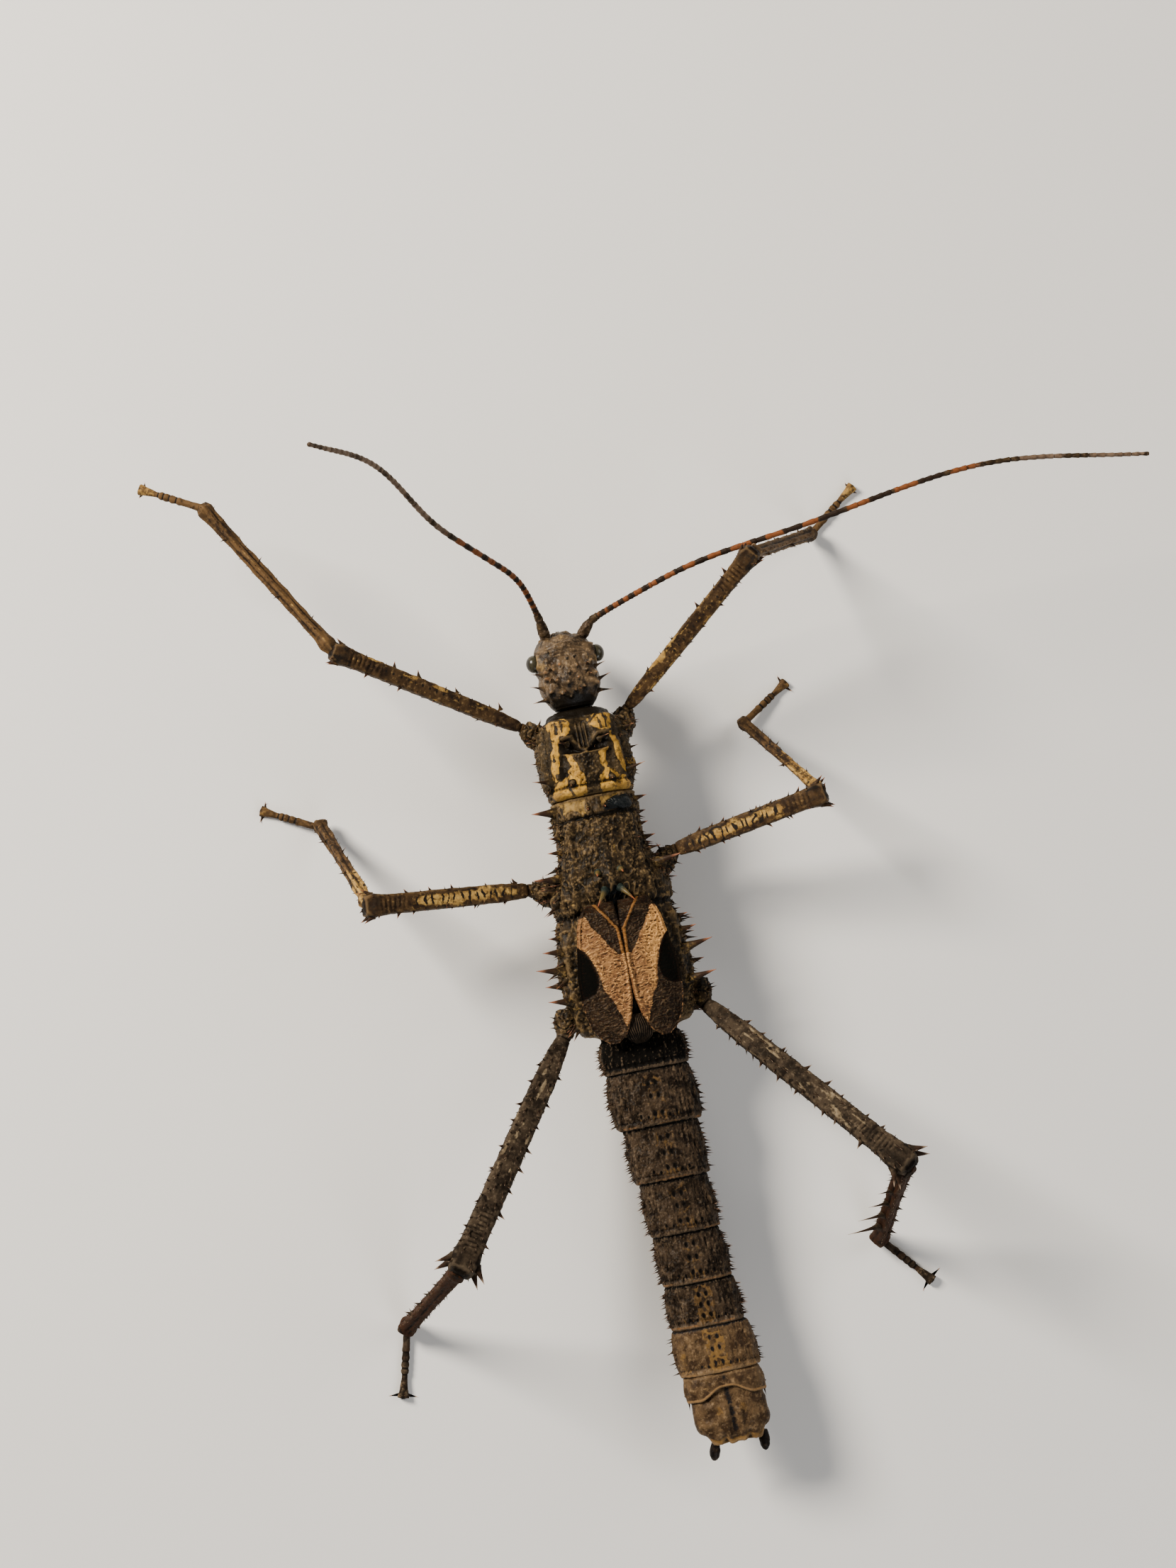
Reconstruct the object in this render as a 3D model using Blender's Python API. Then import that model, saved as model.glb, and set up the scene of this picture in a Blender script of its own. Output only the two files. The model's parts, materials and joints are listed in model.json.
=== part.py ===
"""Male giant spiny stick insect, life size, walking: five feet down and the left foreleg lifted.

Tables and lengths are in millimetres and the scene is in metres.  +Y is towards the head, +X is
the insect's right side, and the floor is z = 0.  Each sclerite, wing case, feeler length and leg
segment is a solid of its own, kept GAP away from its neighbours.
"""
import math

import bmesh
import bpy
from mathutils import Matrix, Vector

MM = 0.001
GAP = 0.3
BODY_SIDES = 16
LIMB_SIDES = 8
FEELER_SIDES = 6
THORN_SIDES = 4
SIDES = {"left": -1, "right": 1}

# The abdomen bends gently to the insect's right behind BEND_START.
BEND_START = -22.0
BEND_LENGTH = 45.0
BEND = 1.9

# Body sections: (y, half width, top z, bottom z).
HEAD = (
    (8.1, 1.9, 10.6, 7.4), (8.7, 2.65, 11.6, 6.6), (9.8, 3.1, 12.3, 6.0), (11.4, 3.25, 12.2, 5.5),
    (13.2, 3.15, 11.6, 5.0), (14.6, 2.7, 10.7, 4.9), (15.4, 1.9, 9.8, 5.5),
)
NECK = ((7.1, 1.9, 10.2, 7.4), (7.8, 1.8, 10.2, 7.4))
PROTHORAX = (
    (6.8, 3.0, 11.3, 6.6), (5.6, 4.3, 11.8, 5.6), (3.0, 4.8, 12.1, 5.1), (0.4, 4.7, 12.4, 5.1),
    (-1.4, 4.1, 12.0, 5.6),
)
MESOTHORAX = (
    (-1.7, 4.0, 11.6, 5.6), (-3.0, 4.3, 12.0, 5.2), (-6.5, 4.2, 12.2, 5.0), (-9.0, 5.0, 12.3, 4.7),
    (-11.0, 6.0, 12.2, 4.4), (-12.9, 5.9, 11.7, 4.5),
)
METATHORAX = (
    (-13.2, 5.7, 11.4, 4.4), (-15.5, 6.2, 11.4, 4.1), (-18.5, 6.6, 11.2, 4.0),
    (-21.5, 6.5, 10.9, 4.0), (-24.0, 5.9, 10.3, 4.1), (-25.6, 4.9, 9.8, 4.3),
)
THORAX = {"prothorax": PROTHORAX, "mesothorax": MESOTHORAX, "metathorax": METATHORAX}
THORAX_SQUARENESS = 0.78
HEAD_SQUARENESS = 0.82

# Abdomen segments 2 to 10: (rear end y, widest half width, top z, bottom z).
ABDOMEN_FRONT = -25.9
ABDOMEN = (
    (-29.0, 4.4, 9.3, 4.2), (-34.6, 4.5, 9.2, 3.9), (-40.1, 3.95, 8.8, 3.6), (-45.5, 3.6, 8.4, 3.4),
    (-50.5, 3.6, 8.2, 3.4), (-54.8, 3.7, 8.3, 3.6), (-59.4, 4.15, 8.7, 4.0), (-62.0, 4.1, 9.0, 4.6),
)
LAST_SEGMENT = (
    (-62.3, 3.7, 8.9, 5.2), (-64.6, 3.75, 8.9, 5.4), (-66.0, 3.2, 8.6, 5.9), (-66.8, 2.3, 8.1, 6.3),
)
ABDOMEN_SQUARENESS = 0.75
SEGMENT_THORNS = 4
SEGMENT_THORN_LENGTH = 0.7

# Side thorns of the thorax: (y, length on the left, on the right, root z, rise in degrees).
SIDE_THORNS = {
    "prothorax": ((4.7, 1.1, 1.1, 9.6, 15), (2.6, 0.7, 0.8, 9.4, 10), (0.4, 1.7, 1.5, 10.8, 40)),
    "mesothorax": (
        (-2.6, 2.3, 1.2, 9.6, 15), (-3.9, 0.8, 0.8, 8.6, 5), (-5.2, 1.1, 0.8, 9.8, 20),
        (-6.6, 1.4, 1.3, 9.2, 15), (-9.3, 2.9, 2.7, 9.6, 30),
    ),
    "metathorax": (
        (-14.9, 1.1, 1.1, 8.8, 15), (-16.3, 1.8, 1.5, 9.0, 20), (-18.0, 2.6, 2.6, 9.0, 20),
        (-19.6, 1.7, 1.4, 8.0, 5), (-21.2, 2.1, 2.5, 9.0, 25),
    ),
}
# Paired upright thorns of the back: (root x, y, tip x, tip y, rise of the tip above the back).
BACK_THORNS = {
    "prothorax": ((1.3, 3.8, 2.6, 4.1, 1.1), (1.9, -0.3, 2.1, -0.4, 1.3)),
    "mesothorax": ((0.7, -2.8, 0.9, -3.0, 0.8), (1.0, -9.2, 1.3, -9.7, 0.9), (0.5, -10.8, 1.9, -12.7, 2.0)),
}
# Paired head thorns: root and tip as (x, y, z).
HEAD_THORNS = (
    ((2.7, 11.3, 10.9), (3.8, 11.5, 11.4)), ((2.7, 10.05, 10.6), (4.1, 10.3, 11.3)),
    ((2.6, 8.9, 9.8), (4.1, 8.7, 10.4)), ((1.7, 11.5, 11.5), (2.0, 11.5, 12.9)),
    ((1.8, 10.4, 11.6), (2.1, 10.3, 13.1)), ((0.7, 9.2, 11.6), (0.8, 9.0, 12.8)),
)

# Mouth feelers: root and tip of the right one.
PALP = ((0.9, 14.2, 5.2), (1.7, 15.8, 3.4))
PALP_WIDTH = 0.65

EYE_CENTRE = (3.2, 12.7, 9.8)
EYE_RADII = (0.85, 0.92, 0.88)
EYE_GAP = 0.2

# Wing cases: (y, inner edge x, outer edge x); the right one is a little broader.
WING_CASE = (
    (-12.3, 1.7, 3.5), (-14.2, 0.4, 4.35), (-17.0, 0.2, 4.75), (-20.0, 0.25, 5.2),
    (-22.8, 0.4, 5.15), (-24.6, 1.2, 4.5), (-26.1, 2.4, 3.2),
)
HIND_WING = ((-23.6, -0.05, 0.05), (-24.6, -0.75, 0.75), (-25.6, -1.45, 1.45), (-26.5, -0.9, 0.9))
SHEET = 0.5
WING_COLUMNS = 5

# Feelers: the short scape, then control points of the whip.
SCAPE = {
    "left": ((-1.4, 14.6, 9.0), (-1.75, 16.6, 10.1)),
    "right": ((1.9, 14.4, 9.0), (3.1, 15.9, 9.9)),
}
WHIP = {
    "left": (
        (-1.8, 16.9, 10.3), (-3.3, 20.4, 14.5), (-6.7, 22.4, 20.5), (-11.0, 24.8, 28.0),
        (-15.4, 28.8, 38.0), (-20.8, 29.2, 48.0),
    ),
    "right": (
        (3.35, 16.1, 10.1), (7.2, 17.3, 11.5), (14.6, 19.3, 13.5), (25.4, 20.5, 16.0),
        (43.4, 22.7, 19.0), (60.2, 20.7, 18.8),
    ),
}
SCAPE_WIDTH = 1.0
WHIP_WIDTH = (0.62, 0.5)
WHIP_RINGS = 9

# Legs: coxa root, hip, then (length, heading, rise) of the femur, (length, heading) of the tibia
# and (length, heading) of the tarsus.  Headings turn from +Y towards +X, in degrees.
LEGS = {
    ("front", "left"): ((-3.3, 4.3, 7.8), (-5.0, 6.9, 7.6), (21.0, -61, 20), (20.3, -31), (7.0, -60)),
    ("front", "right"): ((3.3, 4.1, 7.8), (5.0, 6.6, 7.6), (21.0, 51, 29), (19.4, 66), (7.0, 52)),
    ("mid", "left"): ((-4.0, -10.8, 7.2), (-7.4, -9.4, 7.0), (17.2, -86, 18), (15.4, -21), (6.2, -65)),
    ("mid", "right"): ((4.0, -10.2, 7.2), (6.9, -8.2, 7.0), (16.2, 81, 19), (15.4, -24), (6.2, 57)),
    ("hind", "left"): ((-4.6, -22.0, 7.2), (-7.2, -24.2, 7.4), (27.2, -144, 27), (20.6, -132), (7.0, -166)),
    ("hind", "right"): ((4.6, -21.6, 7.2), (6.9, -23.6, 7.4), (27.2, 142, 28), (20.6, -172), (7.0, 139)),
}
LIFTED = ("front", "left")
LIFTED_TIBIA_RISE = -6
LIFTED_TARSUS_RISE = -12
# Full widths: coxa, femur, knee, tibia, tarsus.
WIDTHS = {"front": (2.3, 1.75, 2.1, 1.4, 1.0), "mid": (2.6, 2.05, 2.3, 1.4, 1.0),
          "hind": (3.1, 2.5, 2.9, 1.85, 1.05)}
KNEE_REACH = 0.9
ANKLE_REACH = 0.35
ANKLE_Z = 1.25
FOOT_HALF = 0.34
FEMUR_THORNS = {"front": 4, "mid": 5, "hind": 8}
CLAW_LENGTH = 1.0

COLOURS = {
    "head": (0.075, 0.055, 0.045), "eye": (0.02, 0.02, 0.022), "horn": (0.06, 0.045, 0.04),
    "pronotum": (0.42, 0.29, 0.11), "thorax": (0.13, 0.085, 0.045), "wing": (0.42, 0.22, 0.13),
    "abdomen": (0.12, 0.085, 0.055), "leg": (0.17, 0.12, 0.065), "feeler": (0.22, 0.07, 0.03),
}


# ---------------------------------------------------------------- objects and materials
def clear_scene():
    for old in list(bpy.data.objects):
        bpy.data.objects.remove(old, do_unlink=True)


def material(name, colour, roughness):
    made = bpy.data.materials.new(name)
    made.use_nodes = True
    shader = made.node_tree.nodes["Principled BSDF"]
    shader.inputs["Base Color"].default_value = (*COLOURS[colour], 1.0)
    shader.inputs["Roughness"].default_value = roughness
    shader.inputs["Metallic"].default_value = 0.0
    return made


def new_object(name, bm, stance, colour="horn", roughness=0.6):
    """Turn a mesh under construction (in millimetres) into an object under the stance empty."""
    bmesh.ops.transform(bm, matrix=Matrix.Scale(MM, 4), verts=bm.verts)
    bmesh.ops.recalc_face_normals(bm, faces=bm.faces)
    mesh = bpy.data.meshes.new(name)
    bm.to_mesh(mesh)
    bm.free()
    mesh.materials.append(material(name, colour, roughness))
    made = bpy.data.objects.new(name, mesh)
    bpy.context.scene.collection.objects.link(made)
    made.parent = stance
    return made


def new_tool(name, bm, stance):
    """A shape used only to join to or cut from another."""
    tool = new_object(name, bm, stance)
    tool.hide_render = True
    tool.display_type = "WIRE"
    return tool


def boolean(target, tool, operation):
    step = target.modifiers.new(tool.name, "BOOLEAN")
    step.operation = operation
    step.solver = "EXACT"
    step.use_self = operation == "UNION"
    step.object = tool


# ---------------------------------------------------------------- shapes
def midline(y):
    return BEND * max(0.0, (BEND_START - y) / BEND_LENGTH) ** 1.2


def power(value, exponent):
    return math.copysign(abs(value) ** exponent, value)


def body_ring(station, squareness, grow=0.0):
    y, half_width, top, bottom = station
    middle = (top + bottom) / 2
    half_height = (top - bottom) / 2 + grow
    ring = []
    for step in range(BODY_SIDES):
        angle = 2 * math.pi * (step + 0.5) / BODY_SIDES
        x = midline(y) + (half_width + grow) * power(math.cos(angle), squareness)
        z = middle + half_height * power(math.sin(angle), squareness)
        ring.append(Vector((x, y, z)))
    return ring


def add_loft(bm, rings):
    loops = [[bm.verts.new(point) for point in ring] for ring in rings]
    for near, far in zip(loops, loops[1:]):
        for i, corner in enumerate(near):
            j = (i + 1) % len(near)
            bm.faces.new((corner, near[j], far[j], far[i]))
    bm.faces.new(loops[0])
    bm.faces.new(reversed(loops[-1]))


def body_mesh(stations, squareness, grow=0.0):
    """Loft of body sections; grow makes the fatter copy that cuts the neighbours."""
    rows = [list(station) for station in stations]
    outward = grow if rows[0][0] > rows[-1][0] else -grow
    rows[0][0] += outward
    rows[-1][0] -= outward
    bm = bmesh.new()
    add_loft(bm, [body_ring(row, squareness, grow) for row in rows])
    return bm


def section_at(stations, y):
    """Half width, top and bottom of a lofted body part at one place along it."""
    for front, rear in zip(stations, stations[1:]):
        if y >= rear[0]:
            share = min(1.0, max(0.0, (front[0] - y) / (front[0] - rear[0])))
            return [a + (b - a) * share for a, b in zip(front[1:], rear[1:])]
    return list(stations[-1][1:])


def back_height(stations, squareness, x, y):
    half_width, top, bottom = section_at(stations, y)
    across = min(0.98, abs(x - midline(y)) / half_width)
    cosine = across ** (1 / squareness)
    return (top + bottom) / 2 + (top - bottom) / 2 * math.sqrt(1 - cosine ** 2) ** squareness


def add_thorn(bm, root, tip, radius):
    """A slim pyramid from inside the body to its point."""
    root = Vector(root)
    tip = Vector(tip)
    way = (tip - root).normalized()
    side = way.cross(Vector((0.31, 0.17, 0.93))).normalized()
    up = side.cross(way)
    ring = []
    for step in range(THORN_SIDES):
        angle = 2 * math.pi * step / THORN_SIDES
        ring.append(bm.verts.new(root + radius * (math.cos(angle) * side + math.sin(angle) * up)))
    point = bm.verts.new(tip)
    bm.faces.new(ring)
    for i, corner in enumerate(ring):
        bm.faces.new((corner, ring[(i + 1) % THORN_SIDES], point))


def frame_of(way):
    """Horizontal side vector and upward vector square to a direction."""
    side = way.cross(Vector((0, 0, 1))).normalized()
    return side, side.cross(way)


def add_tube(bm, path, widths, sides, grow=0.0, floor=False):
    """Tube along a path of points with a full width at each; floor flattens what would sink."""
    rings = []
    for i, point in enumerate(path):
        way = (path[min(i + 1, len(path) - 1)] - path[max(i - 1, 0)]).normalized()
        side, up = frame_of(way)
        radius = widths[i] / 2 + grow
        ring = []
        for step in range(sides):
            angle = 2 * math.pi * (step + 0.5) / sides
            corner = point + radius * (math.cos(angle) * side + math.sin(angle) * up)
            if floor:
                corner.z = max(corner.z, 0.0)
            ring.append(corner)
        rings.append(ring)
    add_loft(bm, rings)


def straight(start, end, shares):
    return [start.lerp(end, share) for share in shares]


def direction(heading, rise):
    flat = math.cos(math.radians(rise))
    turn = math.radians(heading)
    return Vector((math.sin(turn) * flat, math.cos(turn) * flat, math.sin(math.radians(rise))))


def add_limb_thorns(bm, start, end, width, count, angles, lengths, span=(0.12, 0.9)):
    """Rows of thorns along a limb, one row for each angle round it; lengths grow along the row."""
    way = (end - start).normalized()
    side, up = frame_of(way)
    for row, angle in enumerate(angles):
        out = math.cos(math.radians(angle)) * side + math.sin(math.radians(angle)) * up
        for i in range(count):
            share = (i + 0.25 + 0.5 * (row % 2)) / count
            length = lengths[0] + (lengths[1] - lengths[0]) * share
            root = start.lerp(end, span[0] + (span[1] - span[0]) * share) + out * width * 0.2
            tip = root + out * (width * 0.3 + length) + way * length * 0.35
            add_thorn(bm, root, tip, 0.3 * width / 2 + 0.12)


# ---------------------------------------------------------------- head
def build_head(stance):
    head = new_object("head", body_mesh(HEAD, HEAD_SQUARENESS), stance, "head")
    extras = bmesh.new()
    for root, tip in HEAD_THORNS:
        for side in SIDES.values():
            add_thorn(extras, (root[0] * side, *root[1:]), (tip[0] * side, *tip[1:]), 0.42)
    labrum = ((15.0, 1.25, 7.6, 4.4), (15.9, 1.1, 7.2, 4.3), (16.3, 0.7, 6.6, 4.7))
    add_loft(extras, [body_ring(station, HEAD_SQUARENESS) for station in labrum])
    boolean(head, new_tool("head_thorns", extras, stance), "UNION")
    new_object("neck", body_mesh(NECK, HEAD_SQUARENESS), stance, "horn")
    fat_head = new_tool("head_room", body_mesh(HEAD, HEAD_SQUARENESS, GAP), stance)
    for name, side in SIDES.items():
        build_eye(name, side, head, stance)
        build_palp(name, side, fat_head, stance)
        build_feeler(name, fat_head, stance)


def eye_mesh(side, grow):
    bm = bmesh.new()
    bmesh.ops.create_uvsphere(bm, u_segments=10, v_segments=7, radius=1.0)
    radii = [radius + grow for radius in EYE_RADII]
    centre = (EYE_CENTRE[0] * side, *EYE_CENTRE[1:])
    place = Matrix.Translation(centre) @ Matrix.Diagonal((*radii, 1.0))
    bmesh.ops.transform(bm, matrix=place, verts=bm.verts)
    return bm


def build_eye(name, side, head, stance):
    new_object("eye_" + name, eye_mesh(side, 0.0), stance, "eye", 0.15)
    socket = new_tool("socket_" + name, eye_mesh(side, EYE_GAP), stance)
    boolean(head, socket, "DIFFERENCE")


def build_palp(name, side, fat_head, stance):
    root, tip = (Vector((side * x, y, z)) for x, y, z in PALP)
    bm = bmesh.new()
    add_tube(bm, straight(root, tip, (0.0, 0.7, 1.0)), (PALP_WIDTH, PALP_WIDTH, 0.5), FEELER_SIDES)
    boolean(new_object("palp_" + name, bm, stance, "horn"), fat_head, "DIFFERENCE")


def smooth_path(points, count):
    """Evenly spread points on a Catmull-Rom curve through the given ones."""
    ends = [2 * points[0] - points[1]] + points + [2 * points[-1] - points[-2]]
    fine = []
    for i in range(1, len(ends) - 2):
        a, b, c, d = ends[i - 1:i + 3]
        for step in range(12):
            t = step / 12
            fine.append(0.5 * (2 * b + (c - a) * t + (2 * a - 5 * b + 4 * c - d) * t * t
                               + (3 * b - a - 3 * c + d) * t ** 3))
    fine.append(points[-1])
    travelled = [0.0]
    for near, far in zip(fine, fine[1:]):
        travelled.append(travelled[-1] + (far - near).length)
    path = []
    for i in range(count):
        goal = travelled[-1] * i / (count - 1)
        k = next(j for j in range(1, len(fine)) if travelled[j] >= goal - 1e-9)
        share = (goal - travelled[k - 1]) / (travelled[k] - travelled[k - 1])
        path.append(fine[k - 1].lerp(fine[k], share))
    return path


def build_feeler(name, fat_head, stance):
    base, end = (Vector(point) for point in SCAPE[name])
    bm = bmesh.new()
    widths = [SCAPE_WIDTH * 0.8, SCAPE_WIDTH, SCAPE_WIDTH, SCAPE_WIDTH * 0.8]
    add_tube(bm, straight(base, end, (0.0, 0.5, 0.85, 1.0)), widths, LIMB_SIDES)
    scape = new_object("antenna_%s_scape" % name, bm, stance, "horn")
    boolean(scape, fat_head, "DIFFERENCE")
    path = smooth_path([Vector(point) for point in WHIP[name]], 2 * WHIP_RINGS)
    widths = [WHIP_WIDTH[0] + (WHIP_WIDTH[1] - WHIP_WIDTH[0]) * i / len(path) for i in range(len(path))]
    halves = {"flagellum_base": slice(0, WHIP_RINGS + 1), "flagellum_tip": slice(WHIP_RINGS, None)}
    for part, piece in halves.items():
        points = path[piece]
        if part == "flagellum_tip":
            points[0] = points[0] + (points[1] - points[0]).normalized() * GAP
        bm = bmesh.new()
        add_tube(bm, points, widths[piece], FEELER_SIDES)
        new_object("antenna_%s_%s" % (name, part), bm, stance, "feeler")


# ---------------------------------------------------------------- thorax and wing cases
def add_side_thorns(bm, stations, rows):
    for y, left, right, root_z, rise in rows:
        half_width = section_at(stations, y)[0]
        for side, length in ((-1, left), (1, right)):
            way = Vector((side * math.cos(math.radians(rise)), 0.12, math.sin(math.radians(rise))))
            root = Vector((side * (half_width - 1.0), y, root_z))
            add_thorn(bm, root, root + way * (length + 1.0), 0.32 + 0.16 * length)


def add_back_thorns(bm, stations, rows):
    for root_x, y, tip_x, tip_y, rise in rows:
        for side in SIDES.values():
            height = back_height(stations, THORAX_SQUARENESS, root_x, y)
            root = (side * root_x, y, height - 0.6)
            tip_z = back_height(stations, THORAX_SQUARENESS, tip_x, tip_y) + rise
            add_thorn(bm, root, (side * tip_x, tip_y, tip_z), 0.5)


def build_thorax(stance):
    colours = {"prothorax": "pronotum", "mesothorax": "thorax", "metathorax": "thorax"}
    for name, stations in THORAX.items():
        made = new_object(name, body_mesh(stations, THORAX_SQUARENESS), stance, colours[name])
        extras = bmesh.new()
        add_side_thorns(extras, stations, SIDE_THORNS[name])
        add_back_thorns(extras, stations, BACK_THORNS.get(name, ()))
        boolean(made, new_tool(name + "_thorns", extras, stance), "UNION")


def wing_floor(x, y):
    """Height of the highest body part under the wing cases at one place."""
    heights = [back_height(METATHORAX, THORAX_SQUARENESS, x, min(y, METATHORAX[0][0]))]
    if y > METATHORAX[0][0] - 1.0:
        heights.append(back_height(MESOTHORAX, THORAX_SQUARENESS, x, max(y, MESOTHORAX[-1][0])))
    return max(heights) + GAP


def sheet_mesh(rows, height, mirror=1):
    """Thin curved leaf: rows of (y, inner x, outer x), resting on a height function."""
    bm = bmesh.new()
    lower = []
    upper = []
    for y, inner, outer in rows:
        xs = [mirror * (inner + (outer - inner) * i / (WING_COLUMNS - 1)) for i in range(WING_COLUMNS)]
        points = [Vector((x, y, height(x, y))) for x in xs]
        lower.append([bm.verts.new(point) for point in points])
        upper.append([bm.verts.new(point + Vector((0, 0, SHEET))) for point in points])
    for layer in (lower, upper):
        for near, far in zip(layer, layer[1:]):
            for i in range(WING_COLUMNS - 1):
                bm.faces.new((near[i], near[i + 1], far[i + 1], far[i]))
    rim_low = lower[0] + [row[-1] for row in lower[1:]] + lower[-1][-2::-1] + [row[0] for row in lower[-2:0:-1]]
    rim_high = upper[0] + [row[-1] for row in upper[1:]] + upper[-1][-2::-1] + [row[0] for row in upper[-2:0:-1]]
    for i, corner in enumerate(rim_low):
        j = (i + 1) % len(rim_low)
        bm.faces.new((corner, rim_low[j], rim_high[j], rim_high[i]))
    return bm


def build_wings(stance):
    for name, side in SIDES.items():
        new_object("tegmen_" + name, sheet_mesh(WING_CASE, wing_floor, side), stance, "wing")
    new_object("hindwing", sheet_mesh(HIND_WING, wing_floor), stance, "wing")


# ---------------------------------------------------------------- abdomen
def segment_stations(front, rear, half_width, top, bottom):
    middle = (front + rear) / 2
    return ((front, half_width * 0.91, top - 0.15, bottom + 0.1), (middle, half_width, top, bottom),
            (rear, half_width * 0.96, top + 0.05, bottom))


def add_segment_thorns(bm, stations):
    front = stations[0][0]
    rear = stations[-1][0]
    for i in range(SEGMENT_THORNS):
        y = front + (rear - front) * (i + 0.7) / (SEGMENT_THORNS + 0.1)
        half_width, top, bottom = section_at(stations, y)
        z = bottom + (top - bottom) * 0.52
        for side in SIDES.values():
            root = Vector((midline(y) + side * (half_width - 0.7), y, z))
            reach = SEGMENT_THORN_LENGTH + 0.7
            add_thorn(bm, root, root + Vector((side * reach, -0.25, 0.15)), 0.36)


def build_abdomen(stance):
    front = ABDOMEN_FRONT
    for number, (rear, half_width, top, bottom) in enumerate(ABDOMEN, start=2):
        stations = segment_stations(front, rear, half_width, top, bottom)
        name = "abdomen_%d" % number
        made = new_object(name, body_mesh(stations, ABDOMEN_SQUARENESS), stance, "abdomen")
        if number < 9:
            extras = bmesh.new()
            add_segment_thorns(extras, stations)
            boolean(made, new_tool(name + "_thorns", extras, stance), "UNION")
        front = rear - GAP
    new_object("abdomen_10", body_mesh(LAST_SEGMENT, ABDOMEN_SQUARENESS), stance, "abdomen")
    fat_tail = new_tool("tail_room", body_mesh(LAST_SEGMENT, ABDOMEN_SQUARENESS, GAP), stance)
    for name, side in SIDES.items():
        bm = bmesh.new()
        start = Vector((midline(-66) + side * 2.3, -65.6, 7.0))
        end = start + Vector((side * 0.3, -2.4, -0.5))
        add_tube(bm, straight(start, end, (0.0, 0.6, 1.0)), (0.9, 0.95, 0.4), FEELER_SIDES)
        boolean(new_object("cercus_" + name, bm, stance, "horn"), fat_tail, "DIFFERENCE")


# ---------------------------------------------------------------- legs
def leg_joints(key):
    """Root, hip, knee, ankle and toe of one leg, and whether its foot is on the floor."""
    root, hip, femur, tibia, tarsus = LEGS[key]
    root = Vector(root)
    hip = Vector(hip)
    knee = hip + femur[0] * direction(*femur[1:])
    planted = key != LIFTED
    rise = LIFTED_TIBIA_RISE
    if planted:
        rise = math.degrees(math.asin((ANKLE_Z - knee.z) / tibia[0]))
    ankle = knee + tibia[0] * direction(tibia[1], rise)
    toe = ankle + tarsus[0] * direction(tarsus[1], 0 if planted else LIFTED_TARSUS_RISE)
    if planted:
        toe.z = FOOT_HALF
    return root, hip, knee, ankle, toe, planted


def past(start, end, reach):
    return end + (end - start).normalized() * reach


def foot_path(ankle, toe, planted):
    shares = (0.0, 0.1, 0.3, 0.5, 0.72, 0.9, 1.0)
    path = straight(ankle, toe, shares)
    if planted:
        for point, share in zip(path, shares):
            point.z = FOOT_HALF + (ankle.z - FOOT_HALF) * max(0.0, 1 - share / 0.3) ** 1.5
    return path


def add_claws(bm, ankle, toe):
    way = (toe - ankle)
    way.z = 0
    way.normalize()
    side = way.cross(Vector((0, 0, 1)))
    for sign in SIDES.values():
        root = toe - way * 0.35
        tip = toe + side * sign * CLAW_LENGTH + way * 0.35 - Vector((0, 0, 0.15))
        add_thorn(bm, root, tip, 0.3)


def build_leg(key, stance, room):
    place, side = key
    tag = "%s_%s" % key
    root, hip, knee, ankle, toe, planted = leg_joints(key)
    coxa_width, femur_width, knee_width, tibia_width, tarsus_width = WIDTHS[place]
    knee_end = past(hip, knee, KNEE_REACH)
    ankle_end = past(knee, ankle, ANKLE_REACH)
    hip_end = past(root, hip, 0.5)
    shapes = {
        "coxa": (straight(root, hip_end, (0.0, 0.45, 0.85, 1.0)),
                 [coxa_width * share for share in (0.9, 1.0, 0.9, 0.7)]),
        "femur": (straight(hip, knee_end, (0.0, 0.08, 0.5, 0.86, 0.95, 1.0)),
                  [femur_width * 0.8, femur_width, femur_width * 0.96, femur_width, knee_width,
                   knee_width * 0.78]),
        "tibia": (straight(knee, ankle_end, (0.0, 0.1, 0.22, 0.6, 0.93, 1.0)),
                  [tibia_width * share for share in (0.95, 1.0, 0.95, 0.85, 0.92, 0.75)]),
        "tarsus": (foot_path(ankle, toe, planted),
                   [tarsus_width * share for share in (0.85, 0.85, 0.88, 0.84, 0.84, 0.95, 0.7)]),
    }
    thorns = {part: bmesh.new() for part in ("femur", "tibia", "tarsus")}
    count = FEMUR_THORNS[place]
    lengths = (0.5, 0.9) if place == "hind" else (0.45, 0.75)
    add_limb_thorns(thorns["femur"], hip, knee, femur_width, count, (25, 155), lengths)
    if place == "hind":
        add_limb_thorns(thorns["tibia"], knee, ankle, tibia_width, 5, (20, 160), (0.5, 1.5))
    else:
        add_limb_thorns(thorns["tibia"], knee, ankle, tibia_width, 2, (20, 160), (0.3, 0.5))
    add_claws(thorns["tarsus"], ankle, toe)
    previous = room
    for part, (path, widths) in shapes.items():
        bm = bmesh.new()
        add_tube(bm, path, widths, LIMB_SIDES, floor=part == "tarsus")
        made = new_object("%s_%s" % (part, tag), bm, stance, "leg")
        if part in thorns:
            boolean(made, new_tool("%s_%s_thorns" % (part, tag), thorns[part], stance), "UNION")
        boolean(made, previous, "DIFFERENCE")
        bm = bmesh.new()
        add_tube(bm, path, widths, LIMB_SIDES, grow=GAP)
        previous = new_tool("%s_%s_room" % (part, tag), bm, stance)


def build_legs(stance):
    bodies = {"front": "prothorax", "mid": "mesothorax", "hind": "metathorax"}
    rooms = {}
    for place, body in bodies.items():
        grown = body_mesh(THORAX[body], THORAX_SQUARENESS, GAP)
        rooms[place] = new_tool(body + "_room", grown, stance)
    for key in LEGS:
        build_leg(key, stance, rooms[key[0]])


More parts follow.
